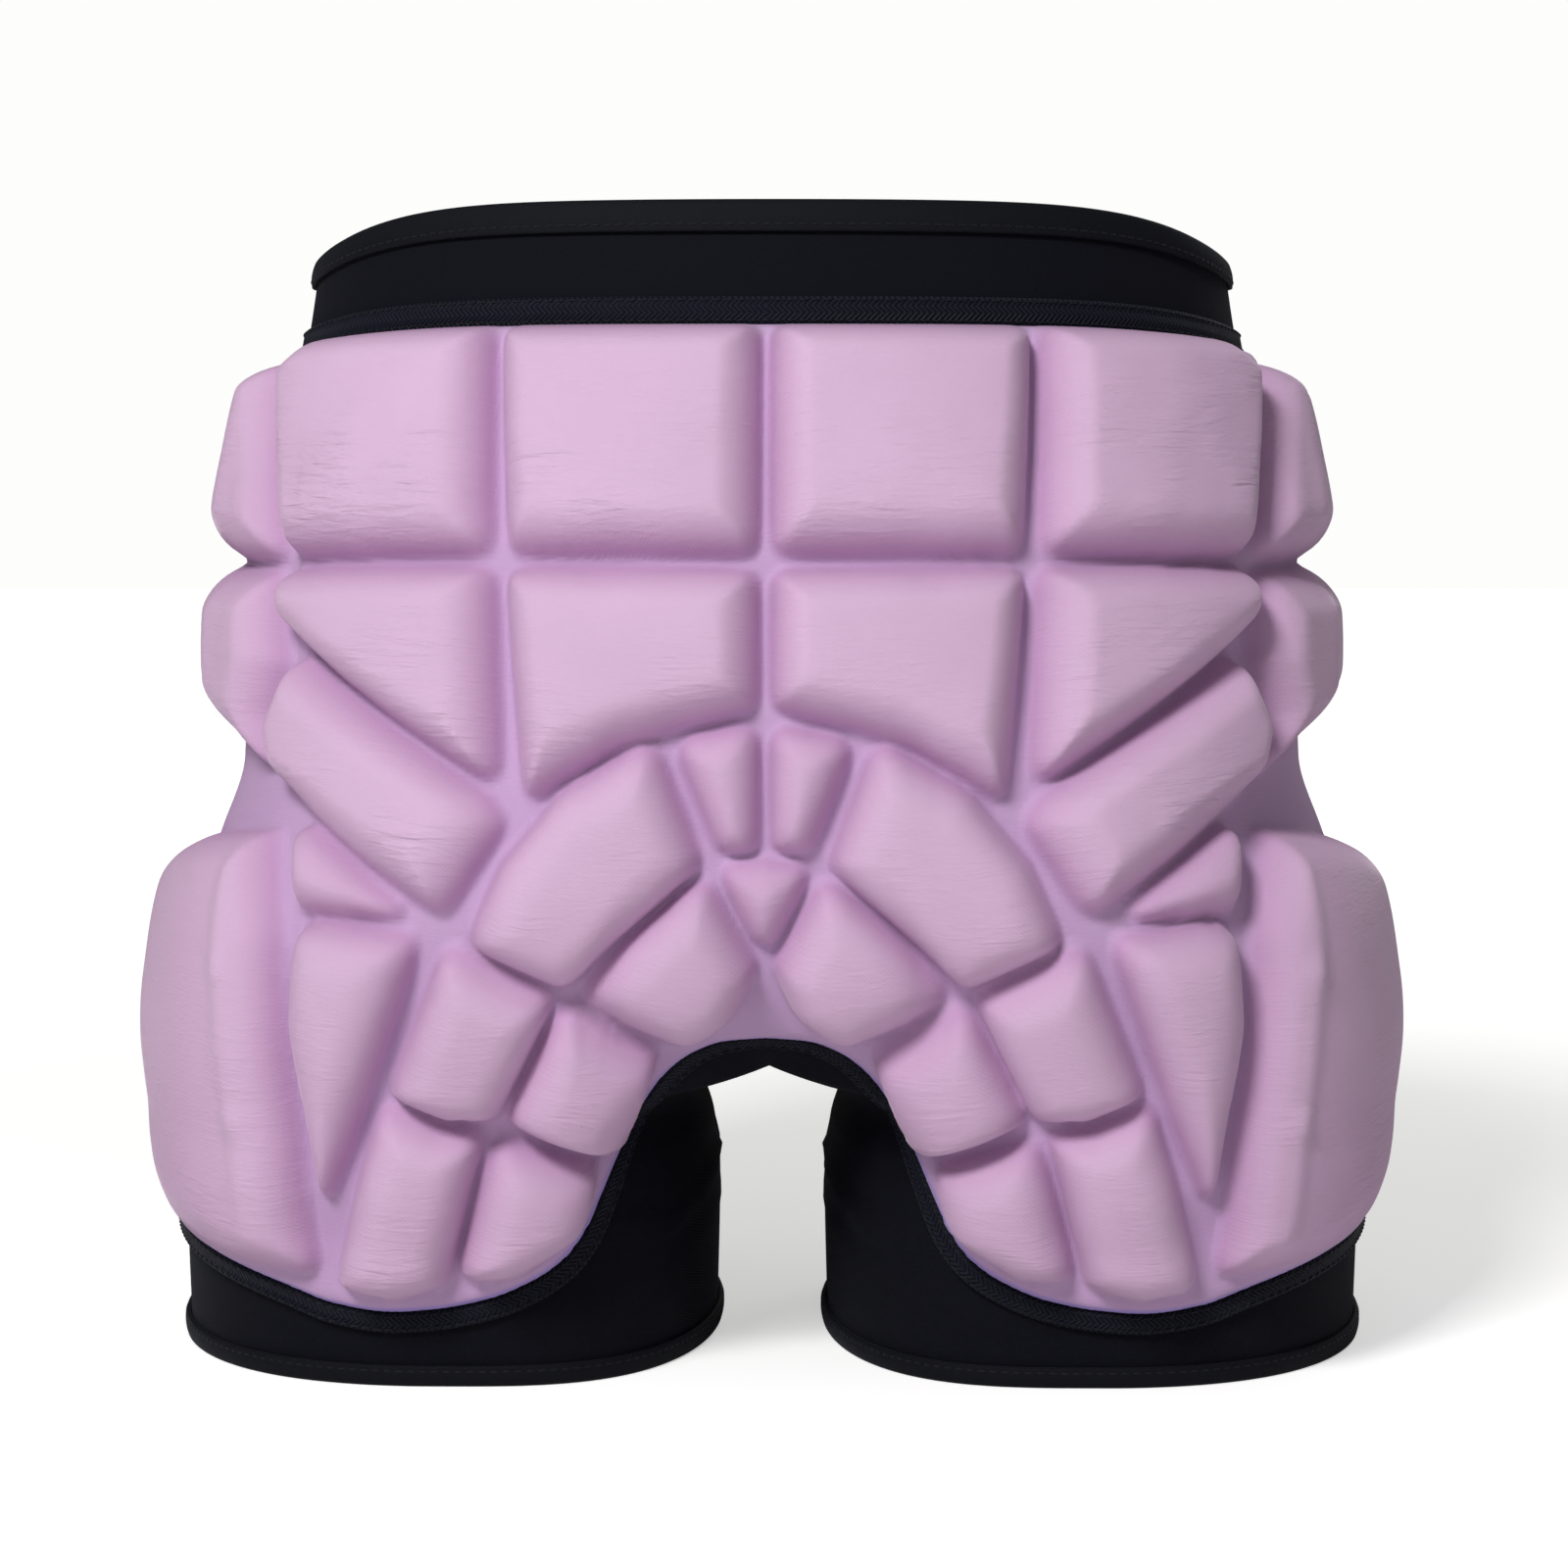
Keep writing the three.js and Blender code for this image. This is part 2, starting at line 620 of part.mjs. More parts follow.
// The turn at a corner, in radians.
function bend(before, corner, after) {
  const into = corner.clone().sub(before);
  const out = after.clone().sub(corner);
  return Math.atan2(into.cross(out), into.dot(out));
}

// How much of each side a rounded corner takes.
function roundingAt(before, corner, after, turn) {
  const room = Math.min(corner.distanceTo(before), corner.distanceTo(after)) * 0.35;
  return Math.min(room, CORNER_RADIUS * Math.tan(Math.min(turn, 2) / 2));
}

// A ring moved inwards; in narrow places only as far as leaves its two sides apart.
function insetRing(ring, distance) {
  return ring.map((point, i) => {
    const before = ring[(i + ring.length - 1) % ring.length];
    const after = ring[(i + 1) % ring.length];
    const into = point.clone().sub(before).normalize();
    const out = after.clone().sub(point).normalize();
    const heading = into.add(out).normalize();
    const inward = new THREE.Vector2(-heading.y, heading.x);
    const reach = widthFrom(ring, i, inward);
    return point.clone().addScaledVector(inward, Math.min(distance, 0.4 * reach));
  });
}

// The distance from one point of a ring straight across to its far side.
function widthFrom(ring, index, inward) {
  const start = ring[index];
  let nearest = Infinity;
  ring.forEach((a, k) => {
    const m = (k + 1) % ring.length;
    if (k === index || m === index) {
      return;
    }
    const side = ring[m].clone().sub(a);
    const gap = a.clone().sub(start);
    const slant = inward.cross(side);
    const distance = gap.cross(side) / slant;
    const share = gap.cross(inward) / slant;
    if (Math.abs(slant) > 1e-9 && distance > 0 && share >= -0.01 && share <= 1.01) {
      nearest = Math.min(nearest, distance);
    }
  });
  return nearest;
}

// How much of a block's rise is left at a place, where the block thins towards the leg hem.
function taperAt(across, share) {
  const sideways = Math.min(Math.max((Math.abs(across) - TAPER_FROM) / (TAPER_TO - TAPER_FROM), 0), 1);
  return 1 - sideways * (1 - along(THIGH_TAPER, 'height', 'rise', share));
}

// One block: its foot as places of the chart, and the triangles of its wall and crown.
function blockRelief(block, floor) {
  const middle = new THREE.Vector2();
  for (const [across, share] of block.corners) {
    middle.x += across / block.corners.length;
    middle.y += share / block.corners.length;
  }
  const scale = chartScale(middle.x, middle.y);
  const foot = blockFoot(block.corners, scale, middle);
  const toChart = (point) => [middle.x + point.x / scale.x, middle.y + point.y / scale.y];
  const raise = (flat, rise) => {
    const [across, share] = toChart(flat);
    const left = block.taper ? taperAt(across, share) : 1;
    return chartPoint(across, share, floor + left * rise * block.rise * BLOCK_RISE);
  };
  const flats = WALL_RINGS.map(({ inset }) => insetRing(foot, inset * block.wall * WALL_WIDTH));
  const rings = flats.map((flat, k) => flat.map((point) => raise(point, WALL_RINGS[k].rise)));
  const crown = flats[flats.length - 1];
  const heart = crown.reduce((sum, point) => sum.add(point), new THREE.Vector2());
  heart.divideScalar(crown.length);
  const breadth = Math.min(...crown.map((point) => point.distanceTo(heart)));
  const extent = Math.max(...crown.map((point) => point.distanceTo(heart)));
  if (breadth + extent > SMALL_BLOCK) {
    const inside = crown.map((point) => point.clone().lerp(heart, 0.5));
    rings.push(inside.map((point) => raise(point, CROWN_SWELL)));
  }
  const triangles = [];
  for (let r = 0; r < rings.length - 1; r += 1) {
    rings[r].forEach((point, k) => {
      const m = (k + 1) % rings[r].length;
      triangles.push(...patch(point, rings[r][m], rings[r + 1][m], rings[r + 1][k]));
    });
  }
  const peak = raise(heart, CROWN_SWELL);
  const last = rings[rings.length - 1];
  last.forEach((point, k) => triangles.push([point, last[(k + 1) % last.length], peak]));
  return { foot: foot.map(toChart), triangles };
}

// The moulded shell: a bent sheet whose outer face carries the blocks and, between them, the groove floors.
function padShell() {
  const lower = LAYER_GAP;
  const floor = LAYER_GAP + SHEET;
  const mirrored = BLOCKS.map((block) => ({
    ...block,
    corners: block.corners.map(([across, share]) => [-across, share]).reverse(),
  }));
  const reliefs = [...BLOCKS, ...mirrored, TAIL_DROP].map((block) => blockRelief(block, floor));

  const grid = shellPlaces();
  const last = grid.length - 1;
  const end = grid[0].length - 1;
  const outline = [
    ...grid[0],
    ...grid.slice(1, last).map((row) => row[end]),
    ...grid[last].slice().reverse(),
    ...grid.slice(1, last).map((row) => row[0]).reverse(),
  ];

  const triangles = reliefs.flatMap((relief) => relief.triangles);
  triangles.push(...grooveFloor(outline, reliefs.map((relief) => relief.foot.slice().reverse()), floor));
  const under = grid.map((row) => row.map(([across, share]) => chartPoint(across, share, lower)));
  for (let r = 0; r < last; r += 1) {
    for (let c = 0; c < end; c += 1) {
      triangles.push(...gridCell(under, r, c).map(([p, q, t]) => [p, t, q]));
    }
  }
  outline.forEach(([across, share], i) => {
    const [nextAcross, nextShare] = outline[(i + 1) % outline.length];
    triangles.push(...patch(
      chartPoint(across, share, lower), chartPoint(nextAcross, nextShare, lower),
      chartPoint(nextAcross, nextShare, floor), chartPoint(across, share, floor),
    ));
  });
  return bodyFrom(triangles);
}

// The sheet's outer face with a hole at every block, long triangles halved until they follow the bend.
function grooveFloor(outline, holes, floor) {
  const flat = new THREE.Vector2(QUARTER_GIRTH, HEIGHT);
  const places = [outline, ...holes].flat();
  const polygons = [outline, ...holes].map((ring) => ring.map(([x, y]) => [x * flat.x, y * flat.y]));
  let faces = wasm.triangulate(polygons, 1e-6).map((face) => Array.from(face));
  const distance = (p, q) => {
    return Math.hypot((places[p][0] - places[q][0]) * flat.x, (places[p][1] - places[q][1]) * flat.y);
  };
  for (;;) {
    const halves = new Map();
    const marked = faces.map(([a, b, c]) => [[a, b], [b, c], [c, a]].map(([p, q]) => {
      if (distance(p, q) < LONGEST_FLOOR_EDGE) {
        return null;
      }
      const key = p < q ? `${p} ${q}` : `${q} ${p}`;
      if (!halves.has(key)) {
        halves.set(key, places.length);
        places.push([(places[p][0] + places[q][0]) / 2, (places[p][1] + places[q][1]) / 2]);
      }
      return halves.get(key);
    }));
    if (halves.size === 0) {
      break;
    }
    faces = faces.flatMap((face, i) => halved(face, marked[i]));
  }
  const points = places.map(([across, share]) => chartPoint(across, share, floor));
  return faces.map(([a, b, c]) => [points[a], points[b], points[c]]);
}

// A triangle cut at the middles of its long sides.
function halved([a, b, c], [ab, bc, ca]) {
  const count = [ab, bc, ca].filter((middle) => middle !== null).length;
  if (count === 0) {
    return [[a, b, c]];
  }
  if (ab === null) {
    return halved([b, c, a], [bc, ca, ab]);
  }
  if (count === 1) {
    return [[a, ab, c], [ab, b, c]];
  }
  if (count === 3) {
    return [[a, ab, ca], [ab, b, bc], [ca, bc, c], [ab, bc, ca]];
  }
  if (bc === null) {
    return [[a, ab, ca], [ab, b, c], [ab, c, ca]];
  }
  return [[ab, b, bc], [a, ab, bc], [a, bc, c]];
}

// The parts, each a named mesh with its own material.
const garment = new THREE.Group();
garment.name = 'tailbone_protector';

function add(name, geometry, look) {
  geometry.computeVertexNormals();
  const mesh = new THREE.Mesh(geometry, new THREE.MeshStandardMaterial(look));
  mesh.name = name;
  garment.add(mesh);
}

add('shorts_fabric', shortsFabric(), LOOKS.fabric);
add('pad_shell', padShell(), LOOKS.shell);
add('waist_binding', foldedBinding(waistStations(), HEIGHT, -WAIST_BINDING), LOOKS.binding);
add('waist_tape', waistTape(), LOOKS.tape);
add('shell_edge_tape', edgeTape(), LOOKS.tape);
add('hem_binding_left', foldedBinding(legStations(-1), 0, HEM_BINDING), LOOKS.binding);
add('hem_binding_right', foldedBinding(legStations(1), 0, HEM_BINDING), LOOKS.binding);

// Centre the garment front to back over the origin.
const box = new THREE.Box3().setFromObject(garment);
garment.position.y = -(box.min.y + box.max.y) / 2;

export default garment;
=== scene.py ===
import math
import bmesh
import bpy
import numpy as np
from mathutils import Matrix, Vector


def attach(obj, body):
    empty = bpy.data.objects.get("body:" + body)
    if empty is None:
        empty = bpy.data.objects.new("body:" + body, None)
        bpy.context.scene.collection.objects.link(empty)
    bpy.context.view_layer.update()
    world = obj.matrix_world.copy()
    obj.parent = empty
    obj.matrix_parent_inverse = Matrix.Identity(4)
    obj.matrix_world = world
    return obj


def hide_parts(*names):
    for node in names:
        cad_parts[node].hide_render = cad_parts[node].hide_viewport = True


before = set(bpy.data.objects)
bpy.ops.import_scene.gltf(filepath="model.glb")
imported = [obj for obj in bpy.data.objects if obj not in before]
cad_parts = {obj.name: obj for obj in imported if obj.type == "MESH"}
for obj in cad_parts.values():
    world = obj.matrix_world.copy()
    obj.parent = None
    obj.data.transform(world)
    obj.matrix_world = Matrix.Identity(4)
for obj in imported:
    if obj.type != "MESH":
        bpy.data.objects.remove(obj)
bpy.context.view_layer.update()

# The shorts themselves: one layer of black stretch knit, cut as trousers and sewn down the middle.
# They run from the waist binding to the hem bindings, and carry the shell on their outer face.
# Every other piece is laid on this same surface, so the sizes of the body stand here.
HEIGHT, HALF_WIDTH, BACK_DEPTH, FRONT_DEPTH = 0.336, 0.179, 0.131, 0.102
MIDDLE_Y = 0.0241
WAIST_DIP, DIP_START = 0.015, 0.71
QUARTER_GIRTH = 0.235
FULLNESS, INNER_BLUNTNESS, LEG_MIDDLE, CROTCH = 0.12, 2.8, 0.53, 0.25
FABRIC, LAYER_GAP, SEAM_GAP = 0.002, 0.0012, 0.0003
# Columns: height, outer, apex, inner, back, front, cleft, as shares of the sizes above.
SECTIONS = np.array([
    [0.0, 0.995, 0.54, 0.095, 0.725, 0.86, 0],
    [0.134, 1.0, 0.54, 0.09, 0.77, 0.9, 0],
    [0.185, 0.995, 0.54, 0.1, 0.81, 0.92, 0],
    [0.22, 0.985, 0.535, 0.117, 0.83, 0.932, 0],
    [0.235, 0.9825, 0.532, 0.106, 0.839, 0.938, 0],
    [0.244, 0.981, 0.53, 0.067, 0.845, 0.9416, 0],
    [0.25, 0.98, 0.5287, 0.0, 0.849, 0.944, 0],
    [0.262, 0.978, 0.526, -0.067, 0.857, 0.9485, 0],
    [0.289, 0.9735, 0.52, -0.168, 0.8775, 0.957, 0.035],
    [0.327, 0.964, 0.49, -0.28, 0.912, 0.967, 0.08],
    [0.387, 0.945, 0.425, -0.447, 0.962, 0.98, 0.134],
    [0.446, 0.906, 0.324, -0.615, 0.99, 0.99, 0.134],
    [0.52, 0.862, 0.2, -0.754, 1.0, 1.0, 0.134],
    [0.61, 0.857, 0.09, -0.838, 0.99, 1.0, 0.134],
    [0.7, 0.853, 0.022, -0.853, 0.962, 0.99, 0.134],
    [0.789, 0.823, 0.0, -0.823, 0.9, 0.97, 0.134],
    [0.893, 0.78, 0.0, -0.78, 0.817, 0.93, 0.134],
    [1.0, 0.75, 0.0, -0.75, 0.745, 0.885, 0.134],
])


def along(rows, column, place):
    """One column of a table at places along its first: a smooth curve that never overshoots."""
    xs, ys = rows[:, 0], rows[:, column]
    span = np.diff(xs)
    slope = np.diff(ys) / span
    tangent = np.empty(len(xs))
    total = slope[:-1] + slope[1:]
    product = slope[:-1] * slope[1:]
    tangent[1:-1] = np.where(product > 0, 2 * product / np.where(total == 0, 1, total), 0)
    tangent[0], tangent[-1] = slope[0], slope[-1]
    at = np.clip(place, xs[0], xs[-1])
    i = np.clip(np.searchsorted(xs, at, side="right") - 1, 0, len(span) - 1)
    t = (at - xs[i]) / span[i]
    return (
        (1 + 2 * t) * (1 - t) ** 2 * ys[i]
        + t * (1 - t) ** 2 * span[i] * tangent[i]
        + t * t * (3 - 2 * t) * ys[i + 1]
        - t * t * (1 - t) * span[i] * tangent[i + 1]
    )


def fabric_point(across, share):
    """The fabric's outer face. Across is 0 at the back, 1 at the side, 2 at the front."""
    across, share = np.broadcast_arrays(np.asarray(across, float), np.asarray(share, float))
    turn = np.abs(across)
    ramp = np.maximum(0, (share - DIP_START) / (1 - DIP_START))
    dip = np.sin(np.minimum(turn, 1) * math.pi / 2)
    level = share - WAIST_DIP / HEIGHT * ramp**2 * dip**6
    outer, apex, inner = (HALF_WIDTH * along(SECTIONS, k, level) for k in (1, 2, 3))
    back, front = BACK_DEPTH * along(SECTIONS, 4, level), FRONT_DEPTH * along(SECTIONS, 5, level)
    cleft = HALF_WIDTH * along(SECTIONS, 6, level)
    x = outer * np.sin(turn * math.pi / 2)
    smooth = np.hypot(x, cleft)
    off = (x - apex) / (outer - apex)
    off = np.where(x < apex, 0, off)
    off = np.where(smooth < apex, (smooth - apex) / (apex - inner), off)
    off = np.clip(off, -1, 1)
    blunt = np.where(off < 0, INNER_BLUNTNESS, 2.0)
    full = np.sqrt(np.maximum(0, 1 - np.abs(off) ** blunt)) * (1 + FULLNESS * off**2)
    y = np.where(turn <= 1, -back, front) * full + MIDDLE_Y
    return np.stack([np.sign(across) * x, y, level * HEIGHT], -1)


def across_at(turn, share):
    """The place across at a share of the way round a leg: 0 and 2 at the inseam, 1 at the side."""
    turn, share = np.broadcast_arrays(np.asarray(turn, float), np.asarray(share, float))
    outer = HALF_WIDTH * along(SECTIONS, 1, share)
    start = np.maximum(HALF_WIDTH * along(SECTIONS, 3, share), 0)
    middle = LEG_MIDDLE * outer
    angle = math.pi * np.where(turn <= 1, turn, 2 - turn)
    x = np.where(
        angle < math.pi / 2,
        start + (middle - start) * (1 - np.cos(angle)),
        middle - (outer - middle) * np.cos(angle),
    )
    across = np.arcsin(np.clip(x / outer, 0, 1)) * 2 / math.pi
    return np.where(turn <= 1, across, 2 - across)


def round_point(side, turn, share, lift):
    """A point of one half by its way round, lifted off the fabric."""
    def place(r, s):
        point = fabric_point(across_at(r, s), s)
        point[..., 0] *= side
        return point

    turn, share, lift = np.broadcast_arrays(
        np.asarray(turn, float), np.asarray(share, float), np.asarray(lift, float)
    )
    point = place(turn, share)
    step, climb = 0.012, 0.001
    run = place(np.minimum(2, turn + step), share) - place(np.maximum(0, turn - step), share)
    rise = place(turn, share + climb) - place(turn, share - climb)
    normal = np.cross(run, rise) * side
    normal[..., 0] = np.where(np.abs(point[..., 0]) < 1e-5, 0, normal[..., 0])
    normal /= np.linalg.norm(normal, axis=-1, keepdims=True)
    return point + normal * lift[..., None]


def make_object(name, points, faces, uv=None, values=None):
    """A mesh object from points and faces, facing out, smooth, with its own map and values."""
    mesh = bpy.data.meshes.new(name)
    mesh.from_pydata([tuple(p) for p in points], [], [tuple(int(v) for v in f) for f in faces])
    if uv is not None:
        layer = mesh.uv_layers.new(name="chart")
        loops = np.empty(len(mesh.loops), dtype=np.int32)
        mesh.loops.foreach_get("vertex_index", loops)
        layer.data.foreach_set("uv", np.asarray(uv, dtype=np.float32)[loops].ravel())
    for key, data in (values or {}).items():
        mesh.attributes.new(key, "FLOAT", "POINT").data.foreach_set(
            "value", np.asarray(data, dtype=np.float32)
        )
    work = bmesh.new()
    work.from_mesh(mesh)
    bmesh.ops.remove_doubles(work, verts=work.verts, dist=1e-6)
    bmesh.ops.recalc_face_normals(work, faces=work.faces)
    if work.calc_volume(signed=True) < 0:
        bmesh.ops.reverse_faces(work, faces=work.faces)
    work.to_mesh(mesh)
    work.free()
    mesh.shade_smooth()
    thing = bpy.data.objects.new(name, mesh)
    bpy.context.scene.collection.objects.link(thing)
    return thing


def grid_faces(rows, columns, start=0, wrap=False):
    """The quads of a grid of points, row after row."""
    r, c = np.meshgrid(np.arange(rows - 1), np.arange(columns if wrap else columns - 1), indexing="ij")
    d = (c + 1) % columns
    quads = np.stack([r * columns + c, r * columns + d, (r + 1) * columns + d, (r + 1) * columns + c], -1)
    return (quads.reshape(-1, 4) + start).tolist()


def node(tree, kind, values=None, **settings):
    """A shader or geometry node with its settings and input values."""
    made = tree.nodes.new(kind)
    for key, value in settings.items():
        setattr(made, key, value)
    for key, value in (values or {}).items():
        made.inputs[key].default_value = value
    return made


def math_node(tree, operation, a, b=0.5):
    """A maths node fed by sockets or plain numbers; its result socket."""
    made = node(tree, "ShaderNodeMath", operation=operation)
    for k, value in enumerate((a, b)):
        if isinstance(value, (int, float)):
            made.inputs[k].default_value = value
        else:
            tree.links.new(value, made.inputs[k])
    return made.outputs[0]


def weave_group():
    """Shared cloth relief: a fine crossed knit, and drawn wrinkles that run across the cloth."""
    tree = bpy.data.node_groups.new("cloth_relief", "ShaderNodeTree")
    tree.interface.new_socket(name="Map", in_out="INPUT", socket_type="NodeSocketVector")
    for name, value in (("Pitch", 900.0), ("Wrinkle", 1.0)):
        socket = tree.interface.new_socket(name=name, in_out="INPUT", socket_type="NodeSocketFloat")
        socket.default_value = value
    tree.interface.new_socket(name="Knit", in_out="OUTPUT", socket_type="NodeSocketFloat")
    tree.interface.new_socket(name="Wrinkles", in_out="OUTPUT", socket_type="NodeSocketFloat")
    source, sink = node(tree, "NodeGroupInput"), node(tree, "NodeGroupOutput")
    split = node(tree, "ShaderNodeSeparateXYZ")
    tree.links.new(source.outputs["Map"], split.inputs[0])
    waves = []
    for axis in (0, 1):
        turns = math_node(tree, "MULTIPLY", split.outputs[axis], source.outputs["Pitch"])
        waves.append(math_node(tree, "SINE", math_node(tree, "MULTIPLY", turns, 2 * math.pi)))
    knit = math_node(tree, "MULTIPLY", waves[0], waves[1])
    tree.links.new(math_node(tree, "ADD", math_node(tree, "MULTIPLY", knit, 0.5), 0.5), sink.inputs["Knit"])
    stretch = node(tree, "ShaderNodeMapping", {"Scale": (62.0, 430.0, 1.0), "Rotation": (0, 0, 0.06)})
    tree.links.new(source.outputs["Map"], stretch.inputs["Vector"])
    lines = node(
        tree, "ShaderNodeTexNoise", {"Scale": 1.0, "Detail": 3.0, "Roughness": 0.55, "Distortion": 0.6}
    )
    tree.links.new(stretch.outputs[0], lines.inputs["Vector"])
    patches = node(tree, "ShaderNodeTexNoise", {"Scale": 34.0, "Detail": 1.0})
    tree.links.new(source.outputs["Map"], patches.inputs["Vector"])
    place = node(tree, "ShaderNodeMapRange", {"From Min": 0.36, "From Max": 0.58})
    tree.links.new(patches.outputs["Fac"], place.inputs["Value"])
    drawn = math_node(tree, "MULTIPLY", lines.outputs["Fac"], place.outputs[0])
    tree.links.new(math_node(tree, "MULTIPLY", drawn, source.outputs["Wrinkle"]), sink.inputs["Wrinkles"])
    return tree


CLOTH = weave_group()


RIB_PITCH, HERRINGBONE = 0.0016, 0.002
COOL_SHEEN = (0.4, 0.42, 0.6, 1)


def cloth_material(name, color, roughness, pitch, knit, wrinkle=0.0, sheen=0.2, twill=0.0):
    """A woven or knitted cloth: plain colour, fine relief, and a twill rib where asked for, its crests made
    lighter as a painted highlight.
    """
    material = bpy.data.materials.new(name)
    material.use_nodes = True
    tree = material.node_tree
    shader = tree.nodes["Principled BSDF"]
    shader.inputs["Base Color"].default_value = color
    shader.inputs["Roughness"].default_value = roughness
    shader.inputs["Specular IOR Level"].default_value = 0.15
    shader.inputs["Sheen Weight"].default_value = sheen
    shader.inputs["Sheen Roughness"].default_value = 0.45
    shader.inputs["Sheen Tint"].default_value = COOL_SHEEN
    chart = node(tree, "ShaderNodeUVMap", uv_map="chart")
    relief = node(tree, "ShaderNodeGroup", node_tree=CLOTH)
    relief.inputs["Pitch"].default_value = pitch
    relief.inputs["Wrinkle"].default_value = wrinkle
    tree.links.new(chart.outputs[0], relief.inputs["Map"])
    height = math_node(tree, "MULTIPLY", relief.outputs["Knit"], knit)
    height = math_node(tree, "ADD", height, relief.outputs["Wrinkles"])
    if twill:
        split = node(tree, "ShaderNodeSeparateXYZ")
        tree.links.new(chart.outputs[0], split.inputs[0])
        fold = math_node(tree, "PINGPONG", split.outputs[1], HERRINGBONE)
        slant = math_node(tree, "ADD", split.outputs[0], fold)
        rib = math_node(tree, "SINE", math_node(tree, "MULTIPLY", slant, 2 * math.pi / RIB_PITCH))
        height = math_node(tree, "ADD", height, math_node(tree, "MULTIPLY", rib, twill))
        # The ribs' crests are painted five times lighter: the herringbone drawn as a painted highlight.
        mix = node(tree, "ShaderNodeMix", data_type="RGBA")
        mix.inputs["A"].default_value = color
        mix.inputs["B"].default_value = (*(5 * c for c in color[:3]), 1)
        tree.links.new(math_node(tree, "MAXIMUM", rib, 0.0), mix.inputs["Factor"])
        tree.links.new(mix.outputs["Result"], shader.inputs["Base Color"])
    bump = node(tree, "ShaderNodeBump", {"Strength": 0.6, "Distance": 0.0004})
    tree.links.new(height, bump.inputs["Height"])
    tree.links.new(bump.outputs[0], shader.inputs["Normal"])
    return material


BLACK = (0.0021, 0.0025, 0.0062, 1)
FABRIC_ROWS = np.array([
    0.0039, 0.09, 0.17, 0.21, 0.235, 0.246, CROTCH, 0.257, 0.27, 0.29, 0.315, 0.35, 0.395, 0.44,
    0.49, 0.55, 0.62, 0.7, 0.79, 0.893, 0.9961,
])
ROUND, ROWS_BETWEEN = 140, 7
fine_rows = np.interp(
    np.arange(ROWS_BETWEEN * (len(FABRIC_ROWS) - 1) + 1) / ROWS_BETWEEN,
    np.arange(len(FABRIC_ROWS)),
    FABRIC_ROWS,
)
turns = np.linspace(0, 2, ROUND + 1)
# Folds of the leg cuffs: two ends by way round and height share, height and width in metres.
# One unit of the way round counts as FOLD_STEP metres, and the folds fade out towards the hem.
FOLD_STEP, FADE_FROM, FADE_BY = 0.145, 0.03, 0.02
CUFF_FOLDS = (
    ((0.0, 0.158), (0.17, 0.128), 0.0013, 0.0022), ((0.17, 0.128), (0.30, 0.135), 0.0009, 0.0026),
    ((0.0, 0.118), (0.14, 0.092), 0.0006, 0.0026), ((0.32, 0.06), (0.62, 0.075), 0.0005, 0.0045),
    ((1.1, 0.06), (1.5, 0.09), 0.0005, 0.0050), ((1.55, 0.10), (1.95, 0.16), 0.0008, 0.0040),
)


def cuff_lift(turn, share):
    """How far the cuffs' folds stand off the fabric."""
    turn, share = np.broadcast_arrays(turn, share)
    lift = np.zeros(turn.shape)
    spot = np.stack([turn * FOLD_STEP, share * HEIGHT], -1)
    for start, end, height, width in CUFF_FOLDS:
        a, b = (np.array([p[0] * FOLD_STEP, p[1] * HEIGHT]) for p in (start, end))
        rel, ab = spot - a, b - a
        t = np.clip(rel @ ab / (ab @ ab), 0, 1)
        off = np.linalg.norm(rel - t[..., None] * ab, axis=-1)
        lift += height * np.exp(-((off / width) ** 2))
    return lift * np.clip((share - FADE_FROM) / FADE_BY, 0, 1)


def welded(points, uv, faces):
    """Points that meet are made one, and faces that this leaves without area are dropped."""
    _, first, same = np.unique(np.round(points, 6), axis=0, return_index=True, return_inverse=True)
    same = same.reshape(-1)
    faces = [list(dict.fromkeys(int(same[v]) for v in f)) for f in faces]
    return points[first], uv[first], [f for f in faces if len(f) > 2]


def with_wall(points, faces, wall):
    """A sheet given an inner face a wall's width inside it, and a strip along each open edge."""
    normals = np.zeros_like(points)
    for f in faces:
        p = points[f]
        n = np.cross(p[1] - p[0], p[2] - p[0])
        if len(f) == 4:
            n = n + np.cross(p[2] - p[0], p[3] - p[0])
        normals[f] += n
    normals /= np.linalg.norm(normals, axis=1, keepdims=True)
    count = len(points)
    edges = {}
    for f in faces:
        for a, b in zip(f, f[1:] + f[:1]):
            if (b, a) in edges:
                del edges[(b, a)]
            else:
                edges[(a, b)] = True
    closed = faces + [[v + count for v in reversed(f)] for f in faces]
    closed += [[b, a, a + count, b + count] for a, b in edges]
    return np.vstack([points, points - normals * wall]), closed


points, faces, uv = [], [], []
for side in (1, -1):
    folds = cuff_lift(turns[None, :], fine_rows[:, None])
    grid = round_point(side, turns[None, :], fine_rows[:, None], folds)
    quads = np.array(grid_faces(len(fine_rows), ROUND + 1, start=len(points)))
    faces += (quads if side > 0 else quads[:, ::-1]).tolist()
    points += grid.reshape(-1, 3).tolist()
    girth = side * across_at(turns[None, :], fine_rows[:, None]) * QUARTER_GIRTH
    uv += np.stack([girth, grid[..., 2]], -1).reshape(-1, 2).tolist()
points, uv, faces = welded(np.array(points), np.array(uv), faces)
walled, closed = with_wall(points, faces, FABRIC)
shorts = make_object("shorts", walled, closed, np.vstack([uv, uv]))
black_knit = cloth_material("black_stretch_knit", BLACK, 0.85, 1100.0, 0.35, wrinkle=0.5, sheen=0.03)
shorts.data.materials.append(black_knit)
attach(shorts, "root")
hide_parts("shorts_fabric")

# The shell: one compression-moulded sheet of soft foam between two layers of lilac knit.
# Raised blocks are parted by narrow flat grooves, so that it bends with the wearer.
# It is sewn down round its thin flange; the knit is drawn into fine wrinkles on the blocks.
SHEET, RISE, WALL, CORNER, ROLL = 0.004, 0.014, 0.0108, 0.0045, 0.005
